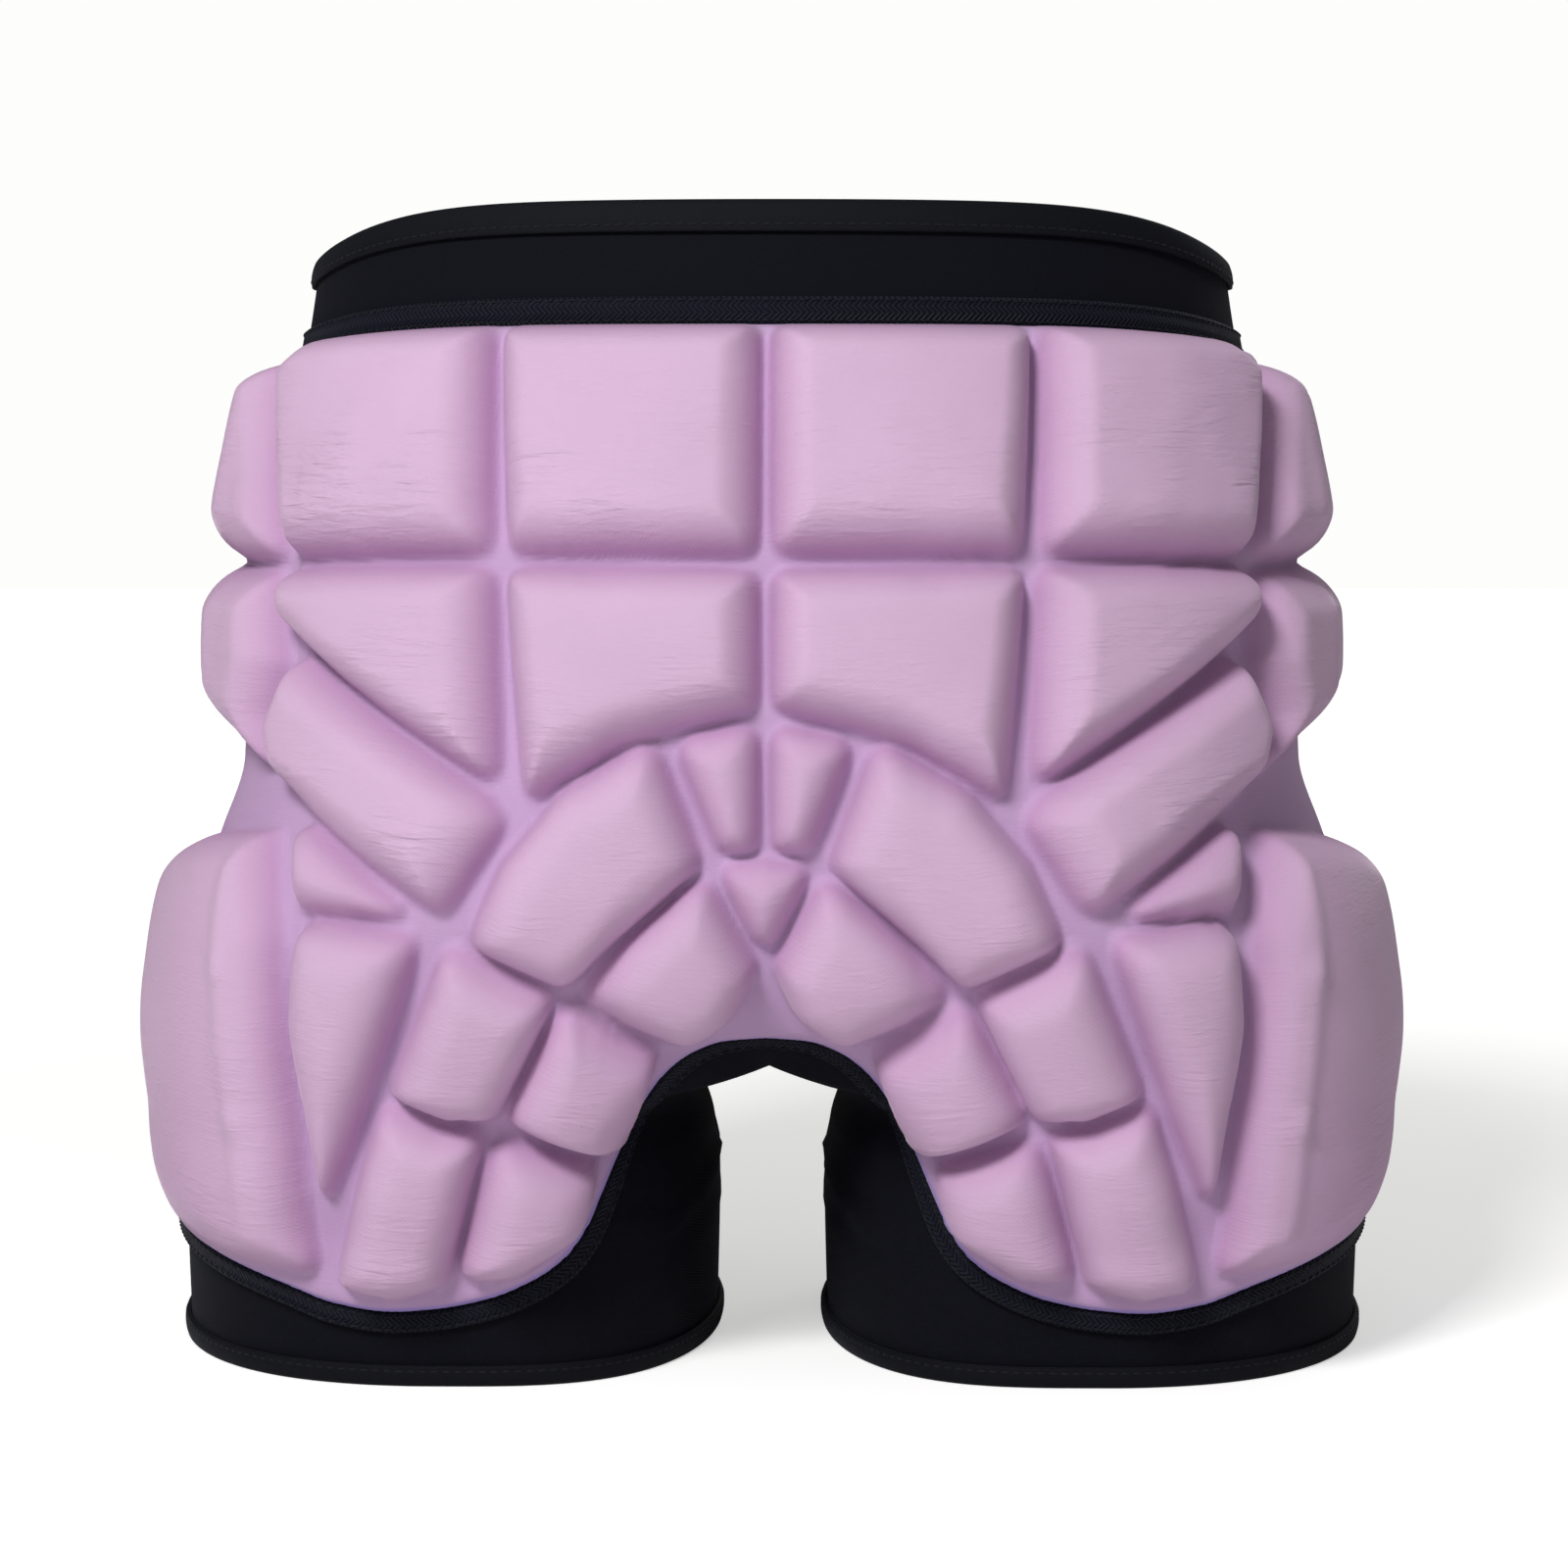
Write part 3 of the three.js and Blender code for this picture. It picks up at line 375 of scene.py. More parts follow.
# A block's foot spreads past its corners, meets the groove in a small round, and its crown swells.
GROWN, FOOT, SWELL, SWELL_REACH = 0.0011, 0.0008, 0.06, 0.026
FLAT = np.array([QUARTER_GIRTH, HEIGHT])
# Columns: across, low, top.
SHELL_EDGE = np.array([
    [0.0, 0.313, 0.894], [0.045, 0.31, 0.894], [0.078, 0.3, 0.894],
    [0.106, 0.282, 0.894], [0.13, 0.256, 0.894], [0.15, 0.224, 0.894],
    [0.165, 0.192, 0.894], [0.178, 0.164, 0.894], [0.191, 0.138, 0.894],
    [0.212, 0.114, 0.894], [0.243, 0.096, 0.894], [0.292, 0.08, 0.894],
    [0.352, 0.071, 0.894], [0.41, 0.068, 0.894], [0.48, 0.073, 0.894],
    [0.55, 0.085, 0.894], [0.62, 0.094, 0.894], [0.7, 0.102, 0.894],
    [0.78, 0.109, 0.894], [0.86, 0.116, 0.894], [0.94, 0.123, 0.892],
    [1.02, 0.131, 0.888], [1.1, 0.145, 0.878], [1.18, 0.178, 0.855],
    [1.24, 0.23, 0.82],
])
# Name: rise and wall as shares of RISE and WALL, then the corners, across and up.
BLOCKS = {
    "waist_inner": (1, 1, [(0.01, 0.708), (0.288, 0.707), (0.332, 0.888), (0.01, 0.888)]),
    "waist_outer": (1, 1, [
        (0.316, 0.707), (0.631, 0.703), (0.735, 0.864), (0.66, 0.888), (0.352, 0.888)]),
    "waist_wing": (0.9, 1.0, [
        (0.658, 0.7), (1.08, 0.702), (1.15, 0.75), (1.14, 0.81), (1.02, 0.862), (0.768, 0.872)]),
    "hip_inner": (1, 1, [
        (0.01, 0.587), (0.104, 0.571), (0.17, 0.553), (0.22, 0.533), (0.268, 0.509),
        (0.292, 0.692), (0.01, 0.692)]),
    "hip_outer": (1, 1, [(0.303, 0.52), (0.643, 0.648), (0.641, 0.688), (0.314, 0.692)]),
    "hip_wing": (0.95, 1.2, [
        (0.665, 0.518), (0.74, 0.54), (0.84, 0.556), (1.02, 0.575), (1.12, 0.61), (1.13, 0.652),
        (1.06, 0.685), (0.668, 0.685), (0.66, 0.632), (0.652, 0.612), (0.684, 0.562)]),
    "hip_diagonal": (1, 1, [
        (0.349, 0.419), (0.634, 0.512), (0.66, 0.556), (0.605, 0.619), (0.318, 0.51),
        (0.296, 0.49)]),
    "thigh_small": (0.85, 0.9, [(0.385, 0.414), (0.54, 0.412), (0.578, 0.48)]),
    "thigh_long": (0.95, 0.95, [(0.477, 0.168), (0.525, 0.33), (0.522, 0.4), (0.375, 0.399)]),
    "thigh_side": (0.85, 1.3, [
        (0.49, 0.105), (0.6, 0.108), (0.756, 0.122), (0.92, 0.138), (1.06, 0.168), (1.15, 0.235),
        (1.17, 0.32), (1.11, 0.385), (0.98, 0.425), (0.8, 0.452), (0.625, 0.466), (0.565, 0.392),
        (0.55, 0.33), (0.522, 0.23)]),
    "seat_outer": (1, 1, [
        (0.072, 0.462), (0.139, 0.418), (0.21, 0.366), (0.316, 0.399), (0.286, 0.458),
        (0.227, 0.514), (0.127, 0.556)]),
    "seat_inner": (1, 1, [
        (0.012, 0.382), (0.036, 0.346), (0.09, 0.318), (0.15, 0.337), (0.192, 0.36), (0.13, 0.408),
        (0.065, 0.45)]),
    "leg_upper_outer": (1, 1, [
        (0.283, 0.25), (0.339, 0.25), (0.402, 0.27), (0.34, 0.394), (0.222, 0.357)]),
    "leg_upper_inner": (1, 1, [
        (0.116, 0.306), (0.157, 0.241), (0.195, 0.212), (0.27, 0.249), (0.208, 0.35)]),
    "leg_lower_outer": (1, 1, [
        (0.338, 0.101), (0.396, 0.087), (0.463, 0.096), (0.41, 0.26), (0.345, 0.239),
        (0.3, 0.234)]),
    "leg_lower_inner": (1, 1, [
        (0.205, 0.143), (0.263, 0.106), (0.32, 0.103), (0.282, 0.228), (0.189, 0.197)]),
    "tail_wedge": (0.8, 0.85, [(0.01, 0.474), (0.048, 0.474), (0.099, 0.557), (0.01, 0.57)]),
}
TAIL_DROP = (0.75, 0.9, [(0, 0.39), (0.048, 0.459), (0, 0.464), (-0.048, 0.459)])
# Sides that are a longer slope than the rest of their block: which sides, and how much longer.
LONG_SIDES = {
    "thigh_side": ((10, 11, 12, 13), 0.74), "hip_outer": ((3,), 1.12), "hip_diagonal": ((4, 5), 1.3),
    "thigh_long": ((0,), 1.25), "thigh_small": ((2,), 1.3),
}
# The thigh pad thins towards the leg hem. Columns: height, what is left of its rise at the side.
THIGH_TAPER = np.array([
    [0.105, 0.12], [0.14, 0.24], [0.184, 0.46], [0.23, 0.72], [0.275, 0.93], [0.32, 1.0], [0.47, 1.0],
])
TAPER_FROM, TAPER_TO = 0.55, 0.9
# Soft creases that stand up on a block's crown: name, two ends across and up, height and width in metres.
RIDGES = (
    ("waist_wing", (0.80, 0.70), (0.82, 0.87), 0.0021, 0.0062),
    ("hip_wing", (0.80, 0.55), (0.81, 0.68), 0.0015, 0.0065),
    ("thigh_side", (0.556, 0.13), (0.582, 0.24), 0.0013, 0.0040),
    ("thigh_side", (0.582, 0.24), (0.613, 0.36), 0.0013, 0.0040),
    ("thigh_side", (0.613, 0.36), (0.640, 0.45), 0.0013, 0.0040),
)
# How much of a block's wall is a plain slope; the rest is the pillow that the foam's skin draws.
PLAIN_SLOPE, SMALL_PLAIN_SLOPE = 0.55, 0.22
LARGE = (
    "waist_inner", "waist_outer", "waist_wing", "hip_inner", "hip_outer", "hip_wing", "hip_diagonal",
    "thigh_side",
)
# How far from its edge a stretched skin has risen by two thirds.
SKIN = 0.0029
# How strongly the knit is drawn into wrinkles, mostly on the lower part of a block.
DRAWN = {"waist_outer": 1.0, "waist_inner": 0.7, "hip_inner": 0.7, "hip_outer": 0.8, "hip_diagonal": 1.0}
DRAWN_OTHERS, DRAWN_EVERYWHERE, DRAWN_LOW = 0.3, 0.15, 0.6
DRAWN_ON_THE_RIGHT = 0.7
# How far past its corners a block still shapes the cloth.
MARGIN = 0.006
# Half of the distance on the chart over which a normal is taken.
NORMAL_STEP = 0.014


def chart_point(across, share, lift):
    """A point of the back's chart, lifted off the fabric along its normal."""
    across, share, lift = np.broadcast_arrays(
        np.asarray(across, float), np.asarray(share, float), np.asarray(lift, float)
    )
    step = NORMAL_STEP
    ahead, behind = fabric_point(across + step, share), fabric_point(across - step, share)
    run = ahead - behind
    run = np.where(np.abs(across)[..., None] < step, np.array([1.0, 0, 0]) + 0 * run, run)
    rise = fabric_point(across, share + step) - fabric_point(across, share - step)
    normal = np.cross(run, rise)
    normal /= np.linalg.norm(normal, axis=-1, keepdims=True)
    return fabric_point(across, share) + normal * lift[..., None]


def chart_scale(across, share):
    """Metres that one whole share covers at a place of the chart, across and up."""
    step = 0.01
    run = fabric_point(across + step, share) - fabric_point(across - step, share)
    rise = fabric_point(across, share + step) - fabric_point(across, share - step)
    return np.linalg.norm(run, axis=-1) / (2 * step), np.linalg.norm(rise, axis=-1) / (2 * step)


def rounded(corners):
    """A ring with its corners rounded, and the side of the first ring that each piece belongs to."""
    ring, sides = [], []
    n = len(corners)
    for i in range(n):
        before, corner, after = corners[i - 1], corners[i], corners[(i + 1) % n]
        a, b = before - corner, after - corner
        la, lb = np.linalg.norm(a), np.linalg.norm(b)
        turn = math.pi - math.acos(np.clip(a @ b / (la * lb), -1, 1))
        cut = min(0.4 * min(la, lb), CORNER * math.tan(min(turn, 2.2) / 2))
        start, end = corner + a / la * cut, corner + b / lb * cut
        for t in (np.linspace(0, 1, 6) if turn > 0.3 else (0.5,)):
            ring.append((1 - t) ** 2 * start + 2 * t * (1 - t) * corner + t * t * end)
            sides.append(i - 1 if t < 0.5 else i)
    return np.array(ring), [s % n for s in sides]


def ring_distance(spots, ring, weights=None):
    """Signed distance to a ring, positive inside; each side's may be divided by its own weight."""
    best = np.full(len(spots), 1e9)
    inside = np.zeros(len(spots), bool)
    for k in range(len(ring)):
        a, b = ring[k], ring[(k + 1) % len(ring)]
        ab = b - a
        rel = spots - a
        t = np.clip(rel @ ab / max(ab @ ab, 1e-18), 0, 1)
        d = np.hypot(*(rel - t[:, None] * ab).T)
        best = np.minimum(best, d / (1 if weights is None else weights[k]))
        crosses = (a[1] > spots[:, 1]) != (b[1] > spots[:, 1])
        slope = (b[0] - a[0]) / (b[1] - a[1] if b[1] != a[1] else 1e-18)
        inside ^= crosses & (spots[:, 0] < a[0] + slope * (spots[:, 1] - a[1]))
    return np.where(inside, best, -best)


def softened(field, passes):
    """A height field smoothed by its neighbours, edges held."""
    for _ in range(passes):
        wide = np.pad(field, 1, mode="edge")
        field = (
            4 * wide[1:-1, 1:-1] + 2 * (wide[:-2, 1:-1] + wide[2:, 1:-1] + wide[1:-1, :-2] + wide[1:-1, 2:])
            + wide[:-2, :-2] + wide[:-2, 2:] + wide[2:, :-2] + wide[2:, 2:]
        ) / 16
    return field


def spaced(edges, steps):
    """Places that run through the edges with the given number of even steps in each stretch."""
    parts = [np.linspace(a, b, n + 1)[:-1] for a, b, n in zip(edges[:-1], edges[1:], steps)]
    return np.concatenate([*parts, [edges[-1]]])


# The mesh: inner cells this many times coarser, the edge's thickness as a share of SHEET, and how the
# rim's distance grows along the top rows, which the waist tape meets.
COARSE = 4
EDGE_THICKNESS, TOP_ROWS, TOP_RIM = 0.35, 0.9, 0.01
half = spaced([0.0, 0.5, 0.72, SHELL_EDGE[-1, 0]], [136, 40, 56])
across = np.concatenate([-half[:0:-1], half])
COLUMNS, ROWS = len(across) - 1, 192
low, top = along(SHELL_EDGE, 1, np.abs(across)), along(SHELL_EDGE, 2, np.abs(across))
rows = np.linspace(0, 1, ROWS + 1)[:, None]
shares = low + (top - low) * rows
places = np.stack([np.broadcast_to(across, shares.shape), shares], -1)
gap_across = np.gradient(across)[None, :] * FLAT[0] * np.ones_like(shares)
gap_up = np.gradient(shares, axis=0) * FLAT[1]


def skin_over(mask, depth, passes=170):
    """How far a stretched skin bulges over a mask: 0 outside, soon 1 inside, round at its corners."""
    rate = np.stack([(SKIN / gap_across) ** 2, (SKIN / gap_up) ** 2])
    field = np.where(mask, 0.5, 0.0)
    hold = np.where(mask, 1.0, np.clip(1 + depth / GROWN, 0, 1))
    for _ in range(passes):
        wide = np.pad(field, 1)
        pull = rate[0] * (wide[1:-1, :-2] + wide[1:-1, 2:]) + rate[1] * (wide[:-2, 1:-1] + wide[2:, 1:-1])
        field = hold * (1 + pull) / (1 + 2 * rate[0] + 2 * rate[1])
    return field


def block_form(name, side, rise, wall, corners):
    """One block's height over the shell, as a share of RISE, and how strongly its knit is drawn."""
    corners = np.array(corners)
    middle = corners.mean(0)
    scale = np.array(chart_scale(middle[0], middle[1]))
    ring, sides = rounded((corners - middle) * scale)
    long_sides, longer = LONG_SIDES.get(name, ((), 1.0))
    slopes = [longer if s in long_sides else 1.0 for s in sides]
    spots = (places - middle) * scale
    reach = np.abs(ring).max(0) + MARGIN
    near = (np.abs(spots[..., 0]) < reach[0]) & (np.abs(spots[..., 1]) < reach[1])
    depth = np.full(shares.shape, -1.0)
    depth[near] = ring_distance(spots[near], ring, slopes) + GROWN
    t = np.clip(depth / (WALL * wall), 0, 1)
    plain = PLAIN_SLOPE if name in LARGE else SMALL_PLAIN_SLOPE
    skin = skin_over(depth > 0, depth)
    shape = plain * (1 - (1 - t) ** 1.5) + (1 - plain) * skin * np.clip(depth / FOOT + 1, 0, 1)
    shape = shape + SWELL * np.sin(np.clip(depth / SWELL_REACH, 0, 1) * math.pi / 2)
    shape = rise * np.where(depth > -GROWN, shape, 0)
    for owner, start, end, height, width in RIDGES:
        if owner == name:
            a, b = ((np.array([side * p[0], p[1]]) - middle) * scale for p in (start, end))
            rel, ab = spots - a, b - a
            along_it = np.clip(rel @ ab / (ab @ ab), 0, 1)
            off = np.linalg.norm(rel - along_it[..., None] * ab, axis=-1)
            shape = shape + t * height / RISE * np.exp(-((off / width) ** 2))
    if name == "thigh_side":
        sideways = np.clip((np.abs(places[..., 0]) - TAPER_FROM) / (TAPER_TO - TAPER_FROM), 0, 1)
        shape = shape * (1 - sideways * (1 - along(THIGH_TAPER, 1, shares)))
    low_side = np.clip(DRAWN_LOW - spots[..., 1] / reach[1], 0, 1)
    strength = DRAWN.get(name, DRAWN_OTHERS) * low_side * (1.0 if side < 0 else DRAWN_ON_THE_RIGHT)
    return shape, t * (DRAWN_EVERYWHERE + strength)


relief = np.zeros(shares.shape)
pull_map = np.zeros(shares.shape)
pieces = [(name, 1, *block) for name, block in BLOCKS.items()]
pieces += [(name, -1, r, w, [(-a, s) for a, s in corners]) for name, (r, w, corners) in BLOCKS.items()]
pieces.append(("tail_drop", 1, *TAIL_DROP))
for piece in pieces:
    shape, drawn = block_form(*piece)
    relief = np.maximum(relief, shape)
    pull_map = np.maximum(pull_map, drawn)
relief = softened(relief, 1)
# Painted shade in narrow creases between blocks: how far the cloth near a place stands above it, which
# darkens the colour there towards plum.
crease_shade = np.clip(softened(relief, 14) - relief, 0, 1)
outline = np.vstack([places[0], places[1:-1, -1], places[-1, ::-1], places[1:-1, 0][::-1]]) * FLAT
inward = np.abs(ring_distance((places * FLAT).reshape(-1, 2), outline[::3])).reshape(shares.shape)
# The sheet rolls down to its sewn edge; the rim's colour shows along the low edge and the sides only.
roll = np.clip(inward / ROLL, 0, 1)
rim = inward + np.clip((rows - TOP_ROWS) / (1 - TOP_ROWS), 0, 1) * TOP_RIM
edge = EDGE_THICKNESS + (1 - EDGE_THICKNESS) * np.sqrt(np.clip(1 - (1 - roll) ** 2, 0, 1))
lift = LAYER_GAP + SHEET * edge + RISE * relief
outer = chart_point(places[..., 0], places[..., 1], lift).reshape(-1, 3)
inner_all = chart_point(places[..., 0], places[..., 1], LAYER_GAP).reshape(-1, 3)


def shell_faces(first_inner):
    """Fine faces outside, faces of COARSE cells inside, and the rim: faces and the inner points kept."""
    wide = COLUMNS + 1
    kept, inside = {}, []
    for r in range(ROWS + 1):
        for c in range(wide):
            border = r in (0, ROWS) or c in (0, COLUMNS)
            if border or (r % COARSE == 0 and c % COARSE == 0):
                kept[(r, c)] = first_inner + len(inside)
                inside.append(r * wide + c)
    faces = grid_faces(ROWS + 1, wide)
    for r in range(0, ROWS, COARSE):
        for c in range(0, COLUMNS, COARSE):
            south = range(c, c + COARSE) if r == 0 else (c,)
            east = range(r, r + COARSE) if c + COARSE == COLUMNS else (r,)
            north = range(c + COARSE, c, -1) if r + COARSE == ROWS else (c + COARSE,)
            west = range(r + COARSE, r, -1) if c == 0 else (r + COARSE,)
            cell = [kept[(r, k)] for k in south] + [kept[(k, c + COARSE)] for k in east]
            cell += [kept[(r + COARSE, k)] for k in north] + [kept[(k, c)] for k in west]
            faces.append(cell[::-1])
    loop = [(0, c) for c in range(COLUMNS)] + [(r, COLUMNS) for r in range(ROWS)]
    loop += [(ROWS, c) for c in range(COLUMNS, 0, -1)] + [(r, 0) for r in range(ROWS, 0, -1)]
    for (r, c), (s, d) in zip(loop, loop[1:] + loop[:1]):
        faces.append([r * wide + c, kept[(r, c)], kept[(s, d)], s * wide + d])
    return faces, inside


faces, inner_points = shell_faces(len(outer))
chart = (places * FLAT).reshape(-1, 2)
# What the material reads at each point of the outer face, with nothing inside.
blank = np.zeros(len(inner_points))
fields = {"crown": np.clip(relief, 0, 1), "rim": rim, "crease_shade": crease_shade, "drawn": pull_map}
shell = make_object(
    "shell",
    np.vstack([outer, inner_all[inner_points]]),
    faces,
    np.vstack([chart, chart[inner_points]]),
    {key: np.concatenate([field.ravel(), blank]) for key, field in fields.items()},
)


# Colour by height over the sheet: grooves, walls, crowns. The walls are darker and more saturated than the
# crowns: painted shade, with the tint of light bounced between the blocks.
GROOVE_LILAC, WALL_SHADE_LILAC = (0.555, 0.365, 0.595, 1), (0.56, 0.335, 0.55, 1)
CROWN_LILAC = (0.675, 0.455, 0.655, 1)
# The plum is painted shade for the narrow creases; the blue is the flange's rim colour.
CREASE_SHADE_PLUM, RIM_BLUE = (0.25, 0.12, 0.26, 1), (0.28, 0.22, 0.66, 1)
SHELL_SHEEN = (1.0, 0.86, 0.97, 1)


def shell_material():
    """Lilac knit over foam: pinker on the crowns, bluer in the grooves and along the flange, with painted
    shade on the walls and in narrow creases.
    """
    material = bpy.data.materials.new("lilac_knit_on_foam")
    material.use_nodes = True
    tree = material.node_tree
    shader = tree.nodes["Principled BSDF"]
    shader.inputs["Roughness"].default_value = 0.82
    shader.inputs["Specular IOR Level"].default_value = 0.25
    shader.inputs["Sheen Weight"].default_value = 0.32
    shader.inputs["Sheen Roughness"].default_value = 0.35
    shader.inputs["Sheen Tint"].default_value = SHELL_SHEEN
    crown = node(tree, "ShaderNodeAttribute", attribute_name="crown")
    flange = node(tree, "ShaderNodeAttribute", attribute_name="rim")
    ramp = node(tree, "ShaderNodeValToRGB")
    stops = ramp.color_ramp.elements
    stops[0].position, stops[0].color = 0.0, GROOVE_LILAC
    stops[1].position, stops[1].color = 0.97, CROWN_LILAC
    middle = stops.new(0.25)
    middle.color = WALL_SHADE_LILAC
    tree.links.new(crown.outputs["Fac"], ramp.inputs[0])
    chart_map = node(tree, "ShaderNodeUVMap", uv_map="chart")
    cloud = node(tree, "ShaderNodeTexNoise", {"Scale": 22.0, "Detail": 2.0})
    tree.links.new(chart_map.outputs[0], cloud.inputs["Vector"])
    shade = node(tree, "ShaderNodeMapRange", {"To Min": 0.93, "To Max": 1.06})
    tree.links.new(cloud.outputs["Fac"], shade.inputs["Value"])
    # Narrow creases are mixed towards plum: painted shade.
    fold = node(tree, "ShaderNodeAttribute", attribute_name="crease_shade")
    crease_shade_weight = node(tree, "ShaderNodeMapRange", {"From Min": 0.12, "From Max": 0.62})
    tree.links.new(fold.outputs["Fac"], crease_shade_weight.inputs["Value"])
    crease_shaded = node(tree, "ShaderNodeMix", data_type="RGBA")
    crease_shaded.inputs["B"].default_value = CREASE_SHADE_PLUM
    tree.links.new(crease_shade_weight.outputs[0], crease_shaded.inputs["Factor"])
    tone = node(tree, "ShaderNodeVectorMath", operation="MULTIPLY")
    tree.links.new(ramp.outputs[0], crease_shaded.inputs["A"])
    tree.links.new(crease_shaded.outputs["Result"], tone.inputs[0])
    tree.links.new(shade.outputs[0], tone.inputs[1])
    near = node(
        tree, "ShaderNodeMapRange", {"From Min": 0.0004, "From Max": 0.0022, "To Min": 0.85, "To Max": 0.0}
    )
    tree.links.new(flange.outputs["Fac"], near.inputs["Value"])
    mix = node(tree, "ShaderNodeMix", data_type="RGBA")
    mix.inputs["B"].default_value = RIM_BLUE
    tree.links.new(near.outputs[0], mix.inputs["Factor"])
    tree.links.new(tone.outputs[0], mix.inputs["A"])
    tree.links.new(mix.outputs["Result"], shader.inputs["Base Color"])
    relief_node = node(tree, "ShaderNodeGroup", node_tree=CLOTH)
    relief_node.inputs["Pitch"].default_value = 950.0
    tree.links.new(chart_map.outputs[0], relief_node.inputs["Map"])
    drawn = node(tree, "ShaderNodeAttribute", attribute_name="drawn")
    tree.links.new(drawn.outputs["Fac"], relief_node.inputs["Wrinkle"])
    grain_map = node(tree, "ShaderNodeMapping", {"Scale": (330.0, 1250.0, 1.0)})
    tree.links.new(chart_map.outputs[0], grain_map.inputs["Vector"])
    grain = node(tree, "ShaderNodeTexNoise", {"Scale": 1.0, "Detail": 1.0})
    tree.links.new(grain_map.outputs[0], grain.inputs["Vector"])
    height = math_node(tree, "MULTIPLY", relief_node.outputs["Knit"], 0.02)
    height = math_node(tree, "ADD", height, relief_node.outputs["Wrinkles"])
    height = math_node(tree, "ADD", height, math_node(tree, "MULTIPLY", grain.outputs["Fac"], 0.09))
    bump = node(tree, "ShaderNodeBump", {"Strength": 0.95, "Distance": 0.0016})
    tree.links.new(height, bump.inputs["Height"])
    tree.links.new(bump.outputs[0], shader.inputs["Normal"])
    return material


shell.data.materials.append(shell_material())
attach(shell, "root")
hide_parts("pad_shell")

# The folded bindings: a strip of stretch cloth wrapped over the waist's edge and over each leg hem.
# Each is puffed a little by the fold and closed by one row of stitches near its inner edge.
BINDING_WALL, WAIST_BINDING, HEM_BINDING, PUFF, FOLD_ROUND = 0.001, 0.009, 0.006, 0.0007, 0.0004
AROUND = 160


def binding_profile(edge, reach):
    """Lift and height of a folded binding's section, out, over the edge and in, then back inside."""
    seat, inner = SEAM_GAP + BINDING_WALL, FABRIC + SEAM_GAP
    fold = math.copysign(BINDING_WALL, reach)
    outer = [
        (seat + PUFF * math.sin(math.pi * (0.08 + 0.84 * t)), edge + reach * t)
        for t in (0.05, 0.18, 0.35, 0.5, 0.65, 0.8, 0.93, 1.0)
    ]
    return (
        [(seat - FOLD_ROUND, edge)] + outer
        + [(SEAM_GAP, edge + reach), (SEAM_GAP, edge + fold), (-inner, edge + fold)]
        + [(-inner, edge + reach), (-inner - BINDING_WALL, edge + reach), (-inner - BINDING_WALL, edge)]
    )


def swept(name, stations, profile, level=False):
    """A section carried round closed stations of half and way round."""
    sides, ways = np.array([s for s, _ in stations]), np.array([w for _, w in stations])
    lifts, heights = (np.array([p[k] for p in profile]) for k in (0, 1))
    rings = np.empty((len(stations), len(profile), 3))
    for side in (1, -1):
        on = sides == side
        if on.any():
            rings[on] = round_point(side, ways[on][:, None], heights[None, :] / HEIGHT, lifts[None, :])
            if level:
                rings[on, :, 2] = round_point(side, ways[on][:, None], heights[None, :] / HEIGHT, 0.0)[..., 2]
    run = np.concatenate([[0], np.cumsum(np.linalg.norm(np.diff(rings[:, 0], axis=0), axis=1))])
    uv = np.stack([
        np.broadcast_to(run[:, None], rings.shape[:2]), np.broadcast_to(heights, rings.shape[:2]),
    ], -1)
    n, m = len(stations), len(profile)
    faces = [
        [i * m + k, ((i + 1) % n) * m + k, ((i + 1) % n) * m + (k + 1) % m, i * m + (k + 1) % m]
        for i in range(n) for k in range(m)
    ]
    return make_object(name, rings.reshape(-1, 3), faces, uv.reshape(-1, 2))


def leg_stations(side):
    """Stations once round one leg."""
    return [(side, 2 * i / AROUND) for i in range(AROUND)]


WAIST_STATIONS = [(1, 2 * i / AROUND) for i in range(AROUND + 1)]
WAIST_STATIONS += [(-1, 2 * i / AROUND) for i in range(AROUND - 1, 0, -1)]
BINDING_BLACK = (0.0030, 0.0035, 0.0064, 1)
binding_cloth = cloth_material("binding_cloth", BINDING_BLACK, 0.72, 1300.0, 0.3, sheen=0.04)
waist_binding = swept("waist_edge", WAIST_STATIONS, binding_profile(HEIGHT, -WAIST_BINDING), level=True)
hem_left = swept("hem_left", leg_stations(-1), binding_profile(0.0, HEM_BINDING), level=True)
hem_right = swept("hem_right", leg_stations(1), binding_profile(0.0, HEM_BINDING), level=True)
for piece, cad in (
    (waist_binding, "waist_binding"), (hem_left, "hem_binding_left"), (hem_right, "hem_binding_right"),
):
    piece.data.materials.append(binding_cloth)
    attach(piece, "root")
    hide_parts(cad)

# The tapes: flat herringbone twill, sewn round the waist above the shell and along its lower edge.
# They cover the seams where the foam's flange is stitched to the knit.
TAPE_WIDTH, TAPE_THICK, EDGE_TAPE_WIDTH, EDGE_GAP = 0.008, 0.0012, 0.006, 0.0006
TAPE_BLACK = (0.0022, 0.0026, 0.0056, 1)
twill = cloth_material("twill_tape", TAPE_BLACK, 0.6, 1500.0, 0.1, sheen=0.05, twill=0.9)
tape_low = SHELL_EDGE[0, 2] * HEIGHT + SEAM_GAP
tape_edge = 0.0004
waist_tape = swept("waist_tape_band", WAIST_STATIONS, [
    (SEAM_GAP, tape_low), (SEAM_GAP + TAPE_THICK - tape_edge, tape_low),
    (SEAM_GAP + TAPE_THICK, tape_low + tape_edge),
    (SEAM_GAP + TAPE_THICK, tape_low + TAPE_WIDTH / 2),
    (SEAM_GAP + TAPE_THICK, tape_low + TAPE_WIDTH - tape_edge),
    (SEAM_GAP + TAPE_THICK - tape_edge, tape_low + TAPE_WIDTH), (SEAM_GAP, tape_low + TAPE_WIDTH),
])


